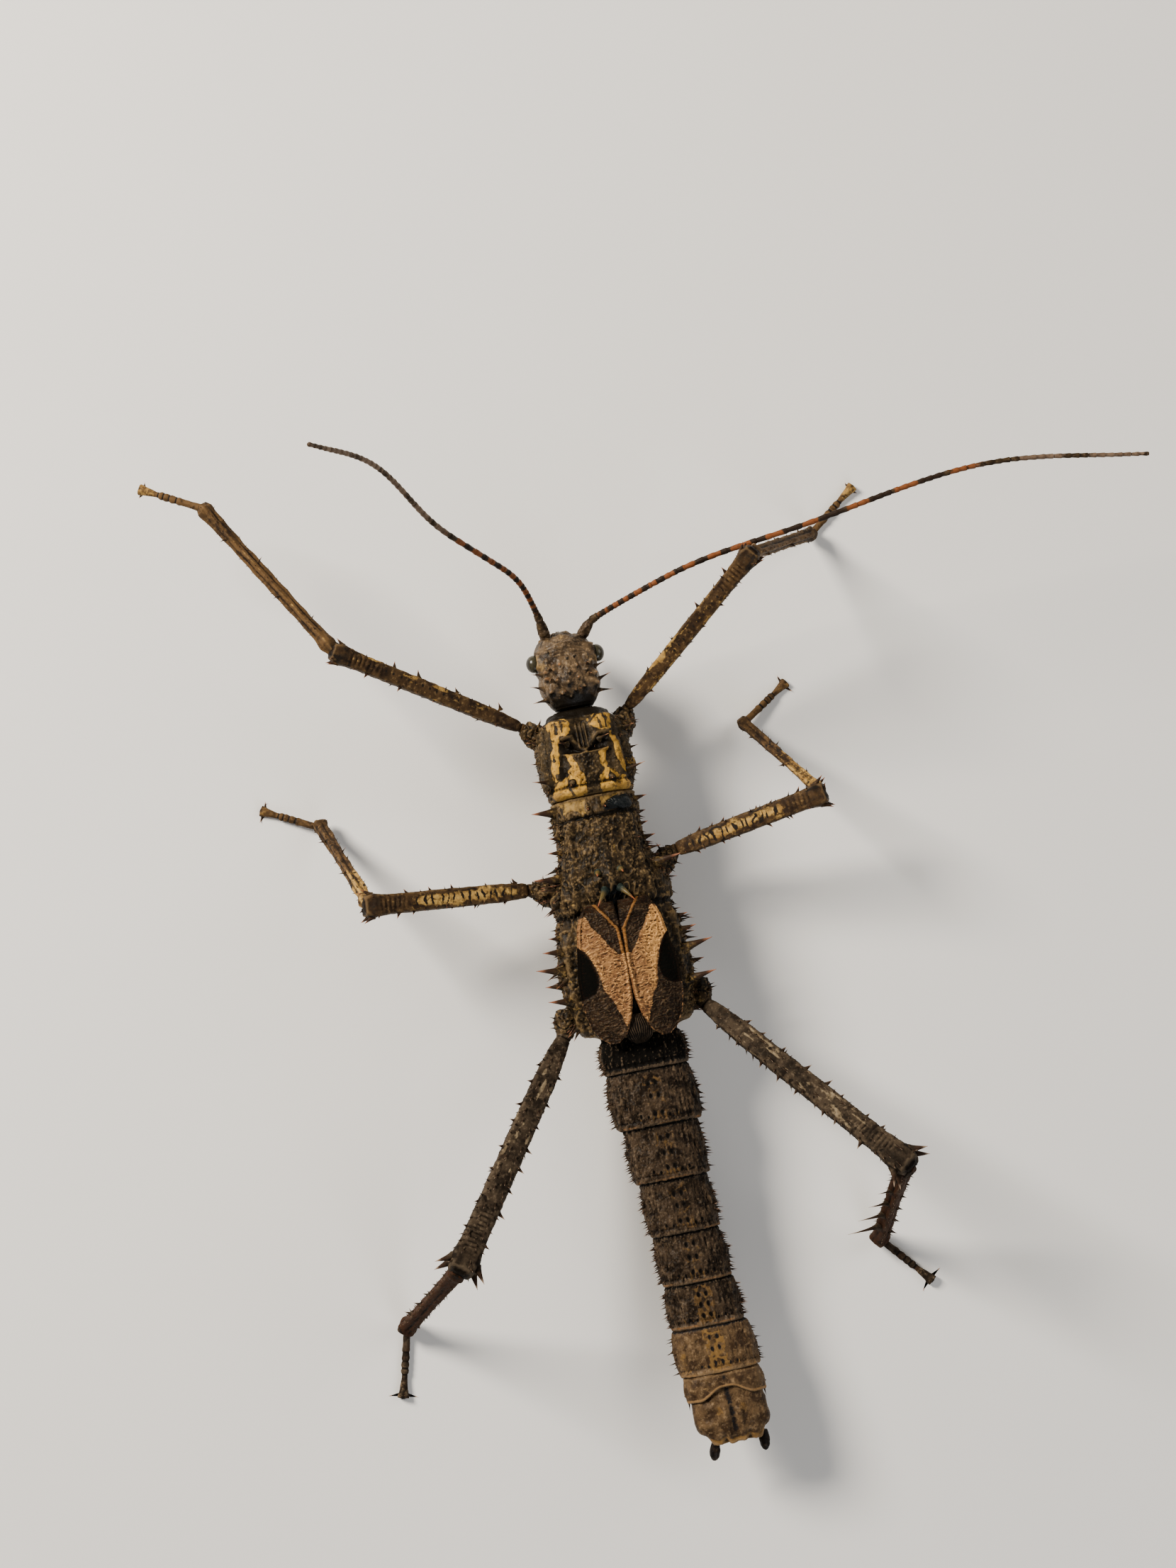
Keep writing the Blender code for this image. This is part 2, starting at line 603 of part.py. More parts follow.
# ---------------------------------------------------------------- assembly
def centre_on_origin(stance):
    """Put the middle of the whole model's box over the origin, with the feet left at z = 0."""
    graph = bpy.context.evaluated_depsgraph_get()
    corners = []
    for made in bpy.context.scene.objects:
        if made.type == "MESH" and not made.hide_render:
            mesh = made.evaluated_get(graph).to_mesh()
            corners.extend(vertex.co.copy() for vertex in mesh.vertices)
    for axis in (0, 1):
        values = [corner[axis] for corner in corners]
        stance.location[axis] = -(min(values) + max(values)) / 2


def main():
    clear_scene()
    stance = bpy.data.objects.new("stance", None)
    bpy.context.scene.collection.objects.link(stance)
    build_head(stance)
    build_thorax(stance)
    build_wings(stance)
    build_abdomen(stance)
    build_legs(stance)
    centre_on_origin(stance)


main()
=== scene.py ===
"""Giant stick insect: the finished surface, grown round the model's fixed solids.

Shapes are worked out in millimetres.  +Y is towards the head, +X is the insect's right.
"""

import json
import math

import bpy
import numpy as np
from numpy.linalg import norm
from mathutils import Matrix, Vector
from mathutils.bvhtree import BVHTree

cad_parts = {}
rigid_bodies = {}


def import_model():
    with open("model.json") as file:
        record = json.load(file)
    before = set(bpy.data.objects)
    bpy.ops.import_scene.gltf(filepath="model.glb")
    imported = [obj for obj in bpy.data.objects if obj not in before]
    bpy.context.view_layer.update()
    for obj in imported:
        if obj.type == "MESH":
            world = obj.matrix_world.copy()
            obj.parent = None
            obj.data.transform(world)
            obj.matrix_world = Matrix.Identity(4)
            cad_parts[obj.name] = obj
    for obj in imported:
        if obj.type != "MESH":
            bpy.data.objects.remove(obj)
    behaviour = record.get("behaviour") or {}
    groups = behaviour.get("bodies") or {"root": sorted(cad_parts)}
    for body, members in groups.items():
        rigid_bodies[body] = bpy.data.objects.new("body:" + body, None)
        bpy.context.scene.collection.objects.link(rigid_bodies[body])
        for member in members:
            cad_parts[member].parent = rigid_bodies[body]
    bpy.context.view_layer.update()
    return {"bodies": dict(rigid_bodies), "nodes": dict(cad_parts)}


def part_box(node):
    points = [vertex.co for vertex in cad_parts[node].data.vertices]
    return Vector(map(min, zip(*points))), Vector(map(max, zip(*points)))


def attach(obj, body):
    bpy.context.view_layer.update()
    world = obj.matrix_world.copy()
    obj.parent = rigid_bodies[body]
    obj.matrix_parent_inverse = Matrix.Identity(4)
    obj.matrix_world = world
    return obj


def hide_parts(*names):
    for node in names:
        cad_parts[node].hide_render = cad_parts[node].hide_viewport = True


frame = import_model()

MM = 0.001
ROOT = "root" if "root" in frame["bodies"] else sorted(frame["bodies"])[0]
SIDES = {"left": -1, "right": 1}
MASKS = ("pale", "dark", "rust", "cavity", "tip")
GRID = 0.13                   # spacing of the finished surface's points
PLATE_COLUMNS = 260           # points round a body plate
THORN_RINGS = 9
THORN_SIDES = 9
POLE = 0.03                   # a ball's grid starts this angle from its poles, in radians

CELL_FACTORS = (73856093, 19349663, 83492791)         # odd numbers that set neighbouring cells apart
SEED_FACTOR, FIRST_FACTOR, LAST_FACTOR = 2654435761, 2246822519, 3266489917
BITS_32, BITS_24 = 0xFFFFFFFF, 0xFFFFFF


# ---- random detail
def hashed(cell, seed):
    """A repeatable random number from 0 to 1 for each whole-number cell."""
    n = seed * SEED_FACTOR
    for axis, factor in enumerate(CELL_FACTORS):
        n = n ^ (cell[..., axis] * factor)
    n = n & BITS_32
    n = ((n ^ (n >> 15)) * FIRST_FACTOR) & BITS_32
    n = ((n ^ (n >> 13)) * LAST_FACTOR) & BITS_32
    return ((n ^ (n >> 16)) & BITS_24) / BITS_24


def noise(points, size, seed):
    """Smooth random values from -1 to 1; size is a blob's width in millimetres."""
    q = points / size
    low = np.floor(q).astype(np.int64)
    f = q - low
    f = f * f * (3 - 2 * f)
    total = 0.0
    for corner in np.ndindex(2, 2, 2):
        weight = 1.0
        for axis in range(3):
            weight = weight * (f[..., axis] if corner[axis] else 1 - f[..., axis])
        total = total + weight * hashed(low + np.array(corner), seed)
    return 2 * total - 1


def rough(points, size, seed, octaves=3):
    """Noise with finer and fainter noise on it."""
    total = 0.0
    for octave in range(octaves):
        total = total + noise(points, size / 2 ** octave, seed + 17 * octave) / 2 ** octave
    return total / (2 - 0.5 ** (octaves - 1))


def grains(points, size, seed, fill):
    """Round grains at random places: 1 on a grain's top, 0 between; grains differ in height."""
    q = points / size
    low = np.floor(q).astype(np.int64)
    best = np.zeros(points.shape[:-1])
    for offset in np.ndindex(3, 3, 3):
        cell = low + np.array(offset) - 1
        centre = cell + np.stack([hashed(cell, seed + k) for k in range(3)], axis=-1)
        reach = norm(q - centre, axis=-1) / fill
        bump = clamp(1 - reach * reach) * (0.35 + 0.65 * hashed(cell, seed + 5))
        best = np.maximum(best, bump)
    return best


def ease(low, high, value):
    """0 below low, 1 above high and a smooth step between."""
    t = clamp((value - low) / (high - low))
    return t * t * (3 - 2 * t)


def bell(value, centre, width):
    """1 at the centre, fading to 0 over a width on both sides."""
    return np.exp(-((value - centre) / width) ** 2)


def blob(across, along, width):
    """A round spot: 1 where both distances are 0, fading over a width."""
    return bell(np.hypot(across, along), 0, width)


def clamp(value):
    """Keep values between 0 and 1."""
    return np.clip(value, 0, 1)


def unit(way):
    """A direction of length 1."""
    return way / norm(way)


def units(ways):
    """Rows of directions of length 1."""
    return ways / norm(ways, axis=1, keepdims=True)


def blurred(line, reach, step, blur, **padding):
    """A row of numbers a step apart, softened by a bell that reaches so many numbers to each side."""
    kernel = np.exp(-(np.arange(-reach, reach + 1) * step / blur) ** 2)
    return np.convolve(np.pad(line, reach, **padding), kernel / kernel.sum(), mode="valid")


def ways_out(angle, side, up):
    """Directions at each angle round a line, from its rows of side and up directions."""
    return np.cos(angle)[None, :, None] * side[:, None] + np.sin(angle)[None, :, None] * up[:, None]


# ---- reading the solids
def box_mm(node):
    """Middle of a solid's box and its half widths, in millimetres."""
    low, high = (np.array(corner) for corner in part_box(node))
    return (low + high) / 2 / MM, (high - low) / 2 / MM


def welded(node):
    """Corner points of a solid in millimetres, each once, and its edges."""
    mesh = frame["nodes"][node].data
    raw = np.empty(len(mesh.vertices) * 3)
    mesh.vertices.foreach_get("co", raw)
    points, back = np.unique(np.round(raw.reshape(-1, 3) / MM, 3), axis=0, return_inverse=True)
    ends = np.empty(len(mesh.edges) * 2, int)
    mesh.edges.foreach_get("vertices", ends)
    edges = np.unique(np.sort(back.ravel()[ends].reshape(-1, 2), axis=1), axis=0)
    return points, edges[edges[:, 0] != edges[:, 1]]


def read_solid(node):
    """Thorns of a solid as rows (root, tip, radius), and its other corner points."""
    points, edges = welded(node)
    near = [[] for _ in points]
    for a, b in edges:
        near[a].append(b)
        near[b].append(a)
    thorns = []
    plain = np.ones(len(points), bool)
    for i, others in enumerate(near):
        ways = points[others] - points[i]
        lengths = norm(ways, axis=1)
        ways = ways / lengths[:, None]
        if len(others) > 2 and (ways @ ways.T).min() > 0.1 and lengths.mean() > 0.35:
            root = points[others].mean(axis=0)
            thorns.append((root, points[i], norm(points[others] - root, axis=1).mean()))
            plain[i] = False
    return thorns, points[plain]


def body_rows(node):
    """Sections of a body solid: (y, middle x, half width, top z, bottom z)."""
    points = read_solid(node)[1]
    levels = np.sort(points[:, 1])
    rows = []
    for group in np.split(levels, np.nonzero(np.diff(levels) > 0.02)[0] + 1):
        ring = points[np.abs(points[:, 1] - group.mean()) < 0.03]
        if len(group) > 9:                       # fewer points are a stray edge, not a section
            low, high = ring.min(axis=0), ring.max(axis=0)
            rows.append((group.mean(), (low[0] + high[0]) / 2, (high[0] - low[0]) / 2, high[2], low[2]))
    return rows


class Form:
    """Smooth measure of a length of body at any y."""

    def __init__(self, nodes, blur=0.5, tops=(0.0, 99.0)):
        """tops limits which sections count, by the height of their upper side."""
        rows = sum((body_rows(node) for node in nodes), [])
        rows = np.array(sorted(row for row in rows if tops[0] < row[3] < tops[1]))
        self.low, self.high = rows[0, 0], rows[-1, 0]
        step, margin = 0.05, 3
        self.y = np.arange(self.low - margin, self.high + margin, step)
        self.rows = [blurred(np.interp(self.y, rows[:, 0], column), 40, step, blur, mode="edge")
                     for column in rows[:, 1:].T]

    def at(self, y):
        """Middle x, half width, top and bottom."""
        return [np.interp(y, self.y, row) for row in self.rows]


def limb_rows(node, gap=0.03, least=5):
    """Rings of a limb solid as rows (centre, width) in order along it, and its points."""
    points = read_solid(node)[1]
    middle = points.mean(axis=0)
    along = (points - middle) @ np.linalg.svd(points - middle, full_matrices=False)[2][0]
    order = np.argsort(along)
    rings = []
    for group in np.split(order, np.nonzero(np.diff(along[order]) > gap)[0] + 1):
        if len(group) >= least:
            centre = points[group].mean(axis=0)
            rings.append((centre, 2 * norm(points[group] - centre, axis=1).mean()))
    return rings, points


def limb_ends(node, near):
    """Both ends of a limb solid's axis, the one closest to a point first."""
    rings, points = limb_rows(node)
    centres = np.array([centre for centre, width in rings if width > 0.45 * max(w for _, w in rings)])
    middle = centres.mean(axis=0)
    way = centres[-1] - centres[0]
    way /= norm(way)
    if norm(centres[0] - near) > norm(centres[-1] - near):
        way = -way
    along = (points - middle) @ way
    return middle + way * along.min(), middle + way * along.max()


# ---- making meshes
def grid_faces(rows, columns):
    """Quads of a grid of points whose columns close round, as indices."""
    index = np.arange(rows * columns).reshape(rows, columns)
    index = np.concatenate([index, index[:, :1]], axis=1)
    corners = (index[:-1, :-1], index[:-1, 1:], index[1:, 1:], index[1:, :-1])
    return np.stack(corners, axis=-1).reshape(-1, 4)


def grid_uvs(rows, columns, room):
    """Bake map of such a grid, laid flat in its own room (low u, low v, high u, high v)."""
    u = room[0] + (room[2] - room[0]) * np.arange(columns + 1) / columns
    v = room[1] + (room[3] - room[1]) * np.arange(rows) / (rows - 1)
    uv = np.stack(np.meshgrid(u, v), axis=-1)
    corners = (uv[:-1, :-1], uv[:-1, 1:], uv[1:, 1:], uv[1:, :-1])
    return np.stack(corners, axis=-2).reshape(-1, 4, 2)


def new_object(name, data):
    """An object in the scene for a mesh, lamp or camera."""
    made = bpy.data.objects.new(name, data)
    bpy.context.scene.collection.objects.link(made)
    return made


class Piece:
    """Collects grids and thorns, with their painted masks and bake map, into one mesh."""

    def __init__(self, name):
        self.name = name
        self.points, self.quads, self.uvs = [], [], []
        self.masks = {mask: [] for mask in MASKS}
        self.count = 0

    def add(self, points, quads, uvs, masks):
        """Points (n, 3) with quads that index them; a mask is a number or one per point."""
        self.points.append(points)
        self.quads.append(quads + self.count)
        self.uvs.append(uvs)
        for mask in MASKS:
            values = np.broadcast_to(np.asarray(masks.get(mask, 0.0), float), len(points))
            self.masks[mask].append(values)
        self.count += len(points)

    def grid(self, points, masks, room=(0, 0, 1, 0.8)):
        """A grid of points whose columns close round; both its ends are drawn together to close them."""
        masks = {mask: np.broadcast_to(value, points.shape[:2]) for mask, value in masks.items()}
        first, last = (row.mean(axis=0) + 0.02 * (row - row.mean(axis=0)) for row in (points[0], points[-1]))
        points = np.concatenate([first[None], points, last[None]])
        flat = {mask: np.pad(value, ((1, 1), (0, 0)), mode="edge").ravel() for mask, value in masks.items()}
        rows, columns = points.shape[:2]
        self.add(points.reshape(-1, 3), grid_faces(rows, columns), grid_uvs(rows, columns, room), flat)

    def skin(self, shape, **settings):
        """The finished grid of a plate or tube."""
        self.grid(shape.finish(), shape.masks, **settings)

    def sheet(self, first, second, masks, **settings):
        """Two grids, one over the other, joined round their edges into a thin closed sheet."""
        doubled = {mask: np.concatenate([value, value[:, ::-1]], axis=1) for mask, value in masks.items()}
        self.grid(np.concatenate([first, second[:, ::-1]], axis=1), doubled, **settings)

    def thorns(self, roots, tips, radii, masks=None, bow=0.08, flare=0.55, room=(0, 0.82, 1, 1)):
        """Slim bent cones with a flared foot; the foot is sunk a little into what carries it."""
        roots, tips = np.asarray(roots, float), np.asarray(tips, float)
        if not len(roots):
            return
        radii = np.broadcast_to(np.asarray(radii, float), len(roots))
        way = tips - roots
        length = norm(way, axis=1, keepdims=True)
        ahead = way / length
        helper = np.where(np.abs(ahead[:, 2:]) > 0.8, [[0.0, 1.0, 0.0]], [[0.0, 0.0, 1.0]])
        side = units(np.cross(ahead, helper))
        up = np.cross(side, ahead)
        t = np.linspace(0, 1, THORN_RINGS) ** 0.8
        girth = (1 - flare) * (1 - t) ** 0.9 + flare * np.exp(-t * 6.5)
        girth[-1] = 0.03
        turn = 2 * np.pi * np.arange(THORN_SIDES) / THORN_SIDES
        foot = 0.15 * ahead[:, None] * (1 - t)[None, :, None]
        spine = roots[:, None] - foot + way[:, None] * t[None, :, None]
        spine = spine + (bow * length)[:, None] * up[:, None] * np.sin(np.pi * t)[None, :, None]
        ring = ways_out(turn, side, up)[:, None]
        grid = spine[:, :, None] + ring * (radii[:, None] * girth)[:, :, None, None]
        many = len(roots)
        across = math.ceil(math.sqrt(many * 4))
        down = math.ceil(many / across)
        quads = grid_faces(THORN_RINGS, THORN_SIDES)
        wide, high = room[2] - room[0], room[3] - room[1]
        for i in range(many):
            u = room[0] + wide * (i % across) / across
            v = room[1] + high * (i // across) / down
            cell = (u, v, u + wide * 0.9 / across, v + high * 0.9 / down)
            own = {mask: value[i] for mask, value in (masks or {}).items()}
            own["tip"] = np.repeat(t, THORN_SIDES)
            own["cavity"] = 0.5
            self.add(grid[i].reshape(-1, 3), quads, grid_uvs(THORN_RINGS, THORN_SIDES, cell), own)

    def build(self, shell, slot, *replaced):
        """Make the object, ride it on the body and let it stand for its solids."""
        points = np.concatenate(self.points) * MM
        points[:, 2] = np.maximum(points[:, 2], 0.0)            # nothing reaches below the floor
        quads = np.concatenate(self.quads)
        mesh = bpy.data.meshes.new(self.name)
        mesh.vertices.add(len(points))
        mesh.vertices.foreach_set("co", points.ravel())
        mesh.loops.add(quads.size)
        mesh.loops.foreach_set("vertex_index", quads.ravel().astype(np.int32))
        mesh.polygons.add(len(quads))
        mesh.polygons.foreach_set("loop_start", np.arange(0, quads.size, 4, dtype=np.int32))
        mesh.polygons.foreach_set("use_smooth", np.ones(len(quads), bool))
        layer = mesh.uv_layers.new(name="OFBake")
        layer.data.foreach_set("uv", np.concatenate(self.uvs).ravel())
        for mask, values in self.masks.items():
            attribute = mesh.attributes.new(mask, "FLOAT", "POINT")
            attribute.data.foreach_set("value", np.concatenate(values).astype(np.float32))
        mesh.update(calc_edges=True)
        mesh.materials.append(SHELL[shell])
        made = new_object(self.name, mesh)
        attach(made, ROOT)
        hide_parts(*replaced)


def normals(grid):
    """Outward directions of a grid of points whose columns close round."""
    across = np.roll(grid, -1, axis=1) - np.roll(grid, 1, axis=1)
    out = np.cross(across, np.gradient(grid, axis=0))
    out /= np.maximum(norm(out, axis=-1, keepdims=True), 1e-9)
    return out


def ball_angles(rows, columns):
    """Angle from the first pole for each row of a ball's grid, and angle round for each column."""
    return np.linspace(POLE, np.pi - POLE, rows)[:, None], 2 * np.pi * np.arange(columns)[None] / columns


def soften(values, times, wrap=True):
    """Blur a grid of numbers; wrap joins its columns round."""
    for _ in range(times):
        padded = np.pad(values, ((1, 1), (0, 0)), mode="edge")
        if wrap:
            across = np.roll(values, 1, axis=1) + np.roll(values, -1, axis=1)
        else:
            wide = np.pad(values, ((0, 0), (1, 1)), mode="edge")
            across = wide[:, :-2] + wide[:, 2:]
        values = (padded[:-2] + padded[2:] + across + values) / 5
    return values


def hollows(height, wrap=True, fine=7.0, broad=3.0):
    """Cavity mask of a height field: near 0 in a hollow, 0.5 on the level and near 1 on a grain."""
    near = soften(height, 4, wrap)
    far = soften(near, 26, wrap)
    return clamp(0.5 + (height - near) * fine + (near - far) * broad)


# ---- body plates
def power(value, exponent):
    """A power that keeps the sign."""
    return np.sign(value) * np.abs(value) ** exponent


def ring_angles(columns, squareness):
    """Angles round a section, starting underneath, evenly spaced along it but closer on the back."""
    fine = np.linspace(-np.pi / 2, 1.5 * np.pi, 1441)      # every quarter of a degree
    x = power(np.cos(fine), squareness)
    z = 0.7 * power(np.sin(fine), squareness)              # a section is lower than wide
    density = 1 + (0.5 + 0.5 * np.sin(fine[:-1]))
    travel = np.concatenate([[0], np.cumsum(np.hypot(np.diff(x), np.diff(z)) * density)])
    return np.interp(np.arange(columns) * travel[-1] / columns, travel, fine)


class Skin:
    """A grid whose columns close round, with relief to press into it and painted masks.

    lift is the relief in millimetres; it and the masks are changed in place.
    """

    def start(self, grid):
        """Take the bare grid; its detail and masks begin at 0."""
        self.grid, self.out = grid, normals(grid)
        self.lift = np.zeros(grid.shape[:2])
        self.masks = {mask: np.zeros(grid.shape[:2]) for mask in MASKS}

    def finish(self, floor=False):
        """Points with the detail pressed along the surface's own direction; floor keeps them above it."""
        self.masks["cavity"] = hollows(self.lift)
        points = self.grid + self.out * self.lift[..., None]
        if floor:
            points[..., 2] = np.maximum(points[..., 2], 0.0)
        return points


class Plate(Skin):
    """A closed stretch of body between two y values, before its detail is pressed into it."""

    def __init__(self, form, front, rear, squareness=0.78, columns=PLATE_COLUMNS, step=GRID):
        self.y0, self.y1 = front, rear
        rows = max(8, int((front - rear) / step))
        y = np.linspace(front, rear, rows)
        middle, half, top, bottom = (value[:, None] for value in form.at(y))
        angle = ring_angles(columns, squareness)[None]
        self.middle, self.half = middle, half
        x = middle + half * power(np.cos(angle), squareness)
        z = (top + bottom) / 2 + (top - bottom) / 2 * power(np.sin(angle), squareness)
        self.start(np.stack([x, np.broadcast_to(y[:, None], x.shape), z], axis=-1))
        self.x = x - middle                                # distance from the midline
        self.y = self.grid[..., 1]
        self.back = ease(0.15, 0.6, self.out[..., 2])      # 1 on the back, 0 on flanks and belly
        self.along = (front - self.y) / (front - rear)

    def squeeze(self, amount, reach, front=0.0, rear=0.0):
        """Draw the ends in: amount in millimetres within reach of the front and rear edges."""
        at_front = ease(reach, 0, self.y0 - self.y) * front
        at_rear = ease(reach, 0, self.y - self.y1) * rear
        self.lift -= amount * (at_front + at_rear)


def line_distance(x, y, points):
    """Distance in millimetres to an open line of points."""
    nearest = np.full(np.broadcast(x, y).shape, 1e9)
    for (ax, ay), (bx, by) in zip(points, points[1:]):
        ex, ey = bx - ax, by - ay
        t = clamp(((x - ax) * ex + (y - ay) * ey) / (ex * ex + ey * ey))
        nearest = np.minimum(nearest, np.hypot(x - ax - t * ex, y - ay - t * ey))
    return nearest


def polygon_field(x, y, corners):
    """Signed distance in millimetres to a polygon: positive inside."""
    closed = list(corners) + [corners[0]]
    nearest = line_distance(x, y, closed)
    inside = np.zeros(nearest.shape, bool)
    for (ax, ay), (bx, by) in zip(closed, closed[1:]):
        inside ^= ((ay > y) != (by > y)) & (x < (bx - ax) * (y - ay) / (by - ay + 1e-12) + ax)
    return np.where(inside, nearest, -nearest)


def patches(x, y, outlines, low, high):
    """1 inside any of the outlines; the edge fades between two signed distances in millimetres."""
    inside = 0.0
    for corners in outlines:
        inside = np.maximum(inside, ease(low, high, polygon_field(x, y, corners)))
    return inside


def along_line(x, y, points, width):
    """1 along an open line of points, fading over a width."""
    return bell(line_distance(x, y, points), 0, width)


def solid_thorns(node):
    """Roots, tips and radii of the thorns that a solid already has."""
    rows = read_solid(node)[0]
    roots, tips = (np.array([row[end] for row in rows]).reshape(-1, 3) for end in (0, 1))
    radii = [min(0.62, 0.12 + 0.2 * norm(tip - root)) for root, tip in zip(roots, tips)]
    return roots, tips, np.array(radii)


# ---- materials
class Nodes:
    """Short words for placing and joining shader nodes in one tree."""

    def __init__(self, tree):
        self.tree = tree

    def feed(self, socket, value):
        """Link a socket to another one, or set its own value."""
        if isinstance(value, bpy.types.NodeSocket):
            self.tree.links.new(value, socket)
        elif socket.type == "RGBA":
            socket.default_value = (*value[:3], 1.0)
        else:
            socket.default_value = value

    def add(self, kind, inputs=None, **settings):
        """Place a node with its settings and feed its inputs."""
        made = self.tree.nodes.new("ShaderNode" + kind)
        for key, value in settings.items():
            setattr(made, key, value)
        for key, value in (inputs or {}).items():
            self.feed(made.inputs[key], value)
        return made

    def surface(self, **looks):
        """Link or set the shader's own sockets."""
        for key, value in looks.items():
            self.feed(self.tree.nodes["Principled BSDF"].inputs[key.replace("_", " ")], value)

    def mask(self, name):
        """One of the painted masks of the mesh."""
        return self.add("Attribute", attribute_name=name).outputs["Fac"]

    def place(self):
        return self.add("TexCoord").outputs["Object"]

    def noise(self, scale, detail, roughness, vector=None):
        """Cloudy values; scale counts clouds along a metre."""
        inputs = {"Vector": vector or self.place(), "Scale": scale, "Detail": detail, "Roughness": roughness}
        return self.add("TexNoise", inputs).outputs["Fac"]

    def math(self, operation, a, b=0.5):
        """Two numbers joined; b is 0.5 if it is left out."""
        return self.add("Math", {0: a, 1: b}, operation=operation).outputs[0]

    def times(self, a, b):
        return self.math("MULTIPLY", a, b)

    def spread(self, value, low, high, to_low=0.0, to_high=1.0):
        """A smooth step between low and high."""
        inputs = {"Value": value, "From Min": low, "From Max": high, "To Min": to_low, "To Max": to_high}
        return self.add("MapRange", inputs, interpolation_type="SMOOTHSTEP").outputs["Result"]

    def mix(self, factor, a, b):
        return self.add("Mix", {0: factor, 6: a, 7: b}, data_type="RGBA").outputs[2]


def effect(name, inputs, outputs=("Color",)):
    """An empty shader group with named inputs and outputs; returns its nodes and its two ends."""
    tree = bpy.data.node_groups.new(name, "ShaderNodeTree")
    for label, value in inputs.items():
        kind = "NodeSocketColor" if isinstance(value, tuple) else "NodeSocketFloat"
        socket = tree.interface.new_socket(label, in_out="INPUT", socket_type=kind)
        socket.default_value = (*value, 1.0) if isinstance(value, tuple) else value
    kinds = {"Color": "NodeSocketColor", "Normal": "NodeSocketVector", "Height": "NodeSocketFloat"}
    for label in outputs:
        tree.interface.new_socket(label, in_out="OUTPUT", socket_type=kinds[label])
    start, end = tree.nodes.new("NodeGroupInput"), tree.nodes.new("NodeGroupOutput")
    return Nodes(tree), start.outputs, end.inputs


def make_ground():
    """Mottled base colour of cuticle: blotches of dark and middle tones with light flecks."""
    n, given, made = effect("Cuticle Ground", {
        "Dark": (0.02, 0.015, 0.01), "Middle": (0.08, 0.06, 0.04), "Light": (0.2, 0.16, 0.1),
        "Blotch Scale": 700.0})
    blotch = n.noise(given["Blotch Scale"], 4.0, 0.6)
    fleck = n.noise(2600.0, 3.0, 0.6)
    ground = n.mix(n.spread(blotch, 0.38, 0.62), given["Dark"], given["Middle"])
    flecked = n.times(n.spread(fleck, 0.5, 0.72), n.spread(blotch, 0.3, 0.7, 0.35, 1.0))
    n.feed(made["Color"], n.mix(flecked, ground, given["Light"]))
    return n.tree


def make_shade():
    """Painted shade in the hollows, and a painted highlight together with rubbing on the grains, from the
    cavity mask.
    """
    n, given, made = effect("Hollow and Wear", {
        "Color": (0.1, 0.1, 0.1), "Dirt": (0.01, 0.008, 0.006), "Worn": (0.3, 0.24, 0.16),
        "Cavity": 0.5, "Wear": 0.5})
    # Painted shade darkens the hollows; a painted highlight, together with rubbing, lightens the raised
    # grains.
    hollow = n.spread(given["Cavity"], 0.5, 0.08)
    rubbed_highlight = n.times(n.spread(given["Cavity"], 0.6, 0.98), given["Wear"])
    hollow_shaded = n.mix(n.times(hollow, 0.92), given["Color"], given["Dirt"])
    n.feed(made["Color"], n.mix(rubbed_highlight, hollow_shaded, given["Worn"]))
    return n.tree


def make_marks():
    """Pale, rust and dark markings laid over a ground colour, with ragged edges."""
    n, given, made = effect("Ragged Markings", {
        "Color": (0.1, 0.1, 0.1), "Pale": (0.6, 0.45, 0.2), "Pale Deep": (0.4, 0.25, 0.08),
        "Black": (0.01, 0.01, 0.01), "Rust": (0.35, 0.1, 0.03), "Stain": (0.07, 0.04, 0.015),
        "Pale Mask": 0.0, "Dark Mask": 0.0, "Rust Mask": 0.0})
    ragged = n.times(n.math("SUBTRACT", n.noise(2600.0, 4.0, 0.65)), 0.9)
    cloudy = n.noise(1100.0, 3.0, 0.6)
    pale_tone = n.mix(n.spread(cloudy, 0.35, 0.7), given["Pale"], given["Pale Deep"])
    stained = n.times(n.spread(n.noise(2100.0, 5.0, 0.7), 0.5, 0.68), 0.75)
    pale_tone = n.mix(stained, pale_tone, given["Stain"])
    colour = given["Color"]
    layers = {"Rust Mask": given["Rust"], "Pale Mask": pale_tone, "Dark Mask": given["Black"]}
    for label, paint in layers.items():
        edge = n.spread(n.math("ADD", given[label], ragged), 0.32, 0.62)
        solid = n.times(edge, n.spread(given[label], 0.02, 0.2))
        colour = n.mix(solid, colour, paint)
    n.feed(made["Color"], colour)
    return n.tree


def make_tips():
    """Thorn colour: from the ground at the foot through a dark shaft to a bright point."""
    n, given, made = effect("Thorn Tip", {
        "Color": (0.1, 0.1, 0.1), "Shaft": (0.03, 0.02, 0.02), "Point": (0.4, 0.2, 0.1), "Tip": 0.0})
    shaft = n.mix(n.spread(given["Tip"], 0.2, 0.55), given["Color"], given["Shaft"])
    n.feed(made["Color"], n.mix(n.spread(given["Tip"], 0.66, 0.97), shaft, given["Point"]))
    return n.tree


def make_relief():
    """Fine pitted relief, finer than the mesh."""
    n, given, made = effect("Fine Relief", {"Strength": 0.4}, ("Normal", "Height"))
    height = n.noise(4500.0, 4.0, 0.65)
    bump = n.add("Bump", {"Height": height, "Strength": given["Strength"], "Distance": 0.0001})
    n.feed(made["Normal"], bump.outputs["Normal"])
    n.feed(made["Height"], height)
    return n.tree


GROUPS = {"ground": make_ground(), "shade": make_shade(), "marks": make_marks(), "tips": make_tips(),
          "relief": make_relief()}


def use(n, group, **inputs):
    """Place one of the shared groups and feed it; returns its outputs."""
    made = n.add("Group", node_tree=GROUPS[group])
    for key, value in inputs.items():
        n.feed(made.inputs[key.replace("_", " ")], value)
    return made.outputs


def new_material(name):
    """The nodes of a new material, and the material."""
    made = bpy.data.materials.new(name)
    made.use_nodes = True
    return Nodes(made.node_tree), made


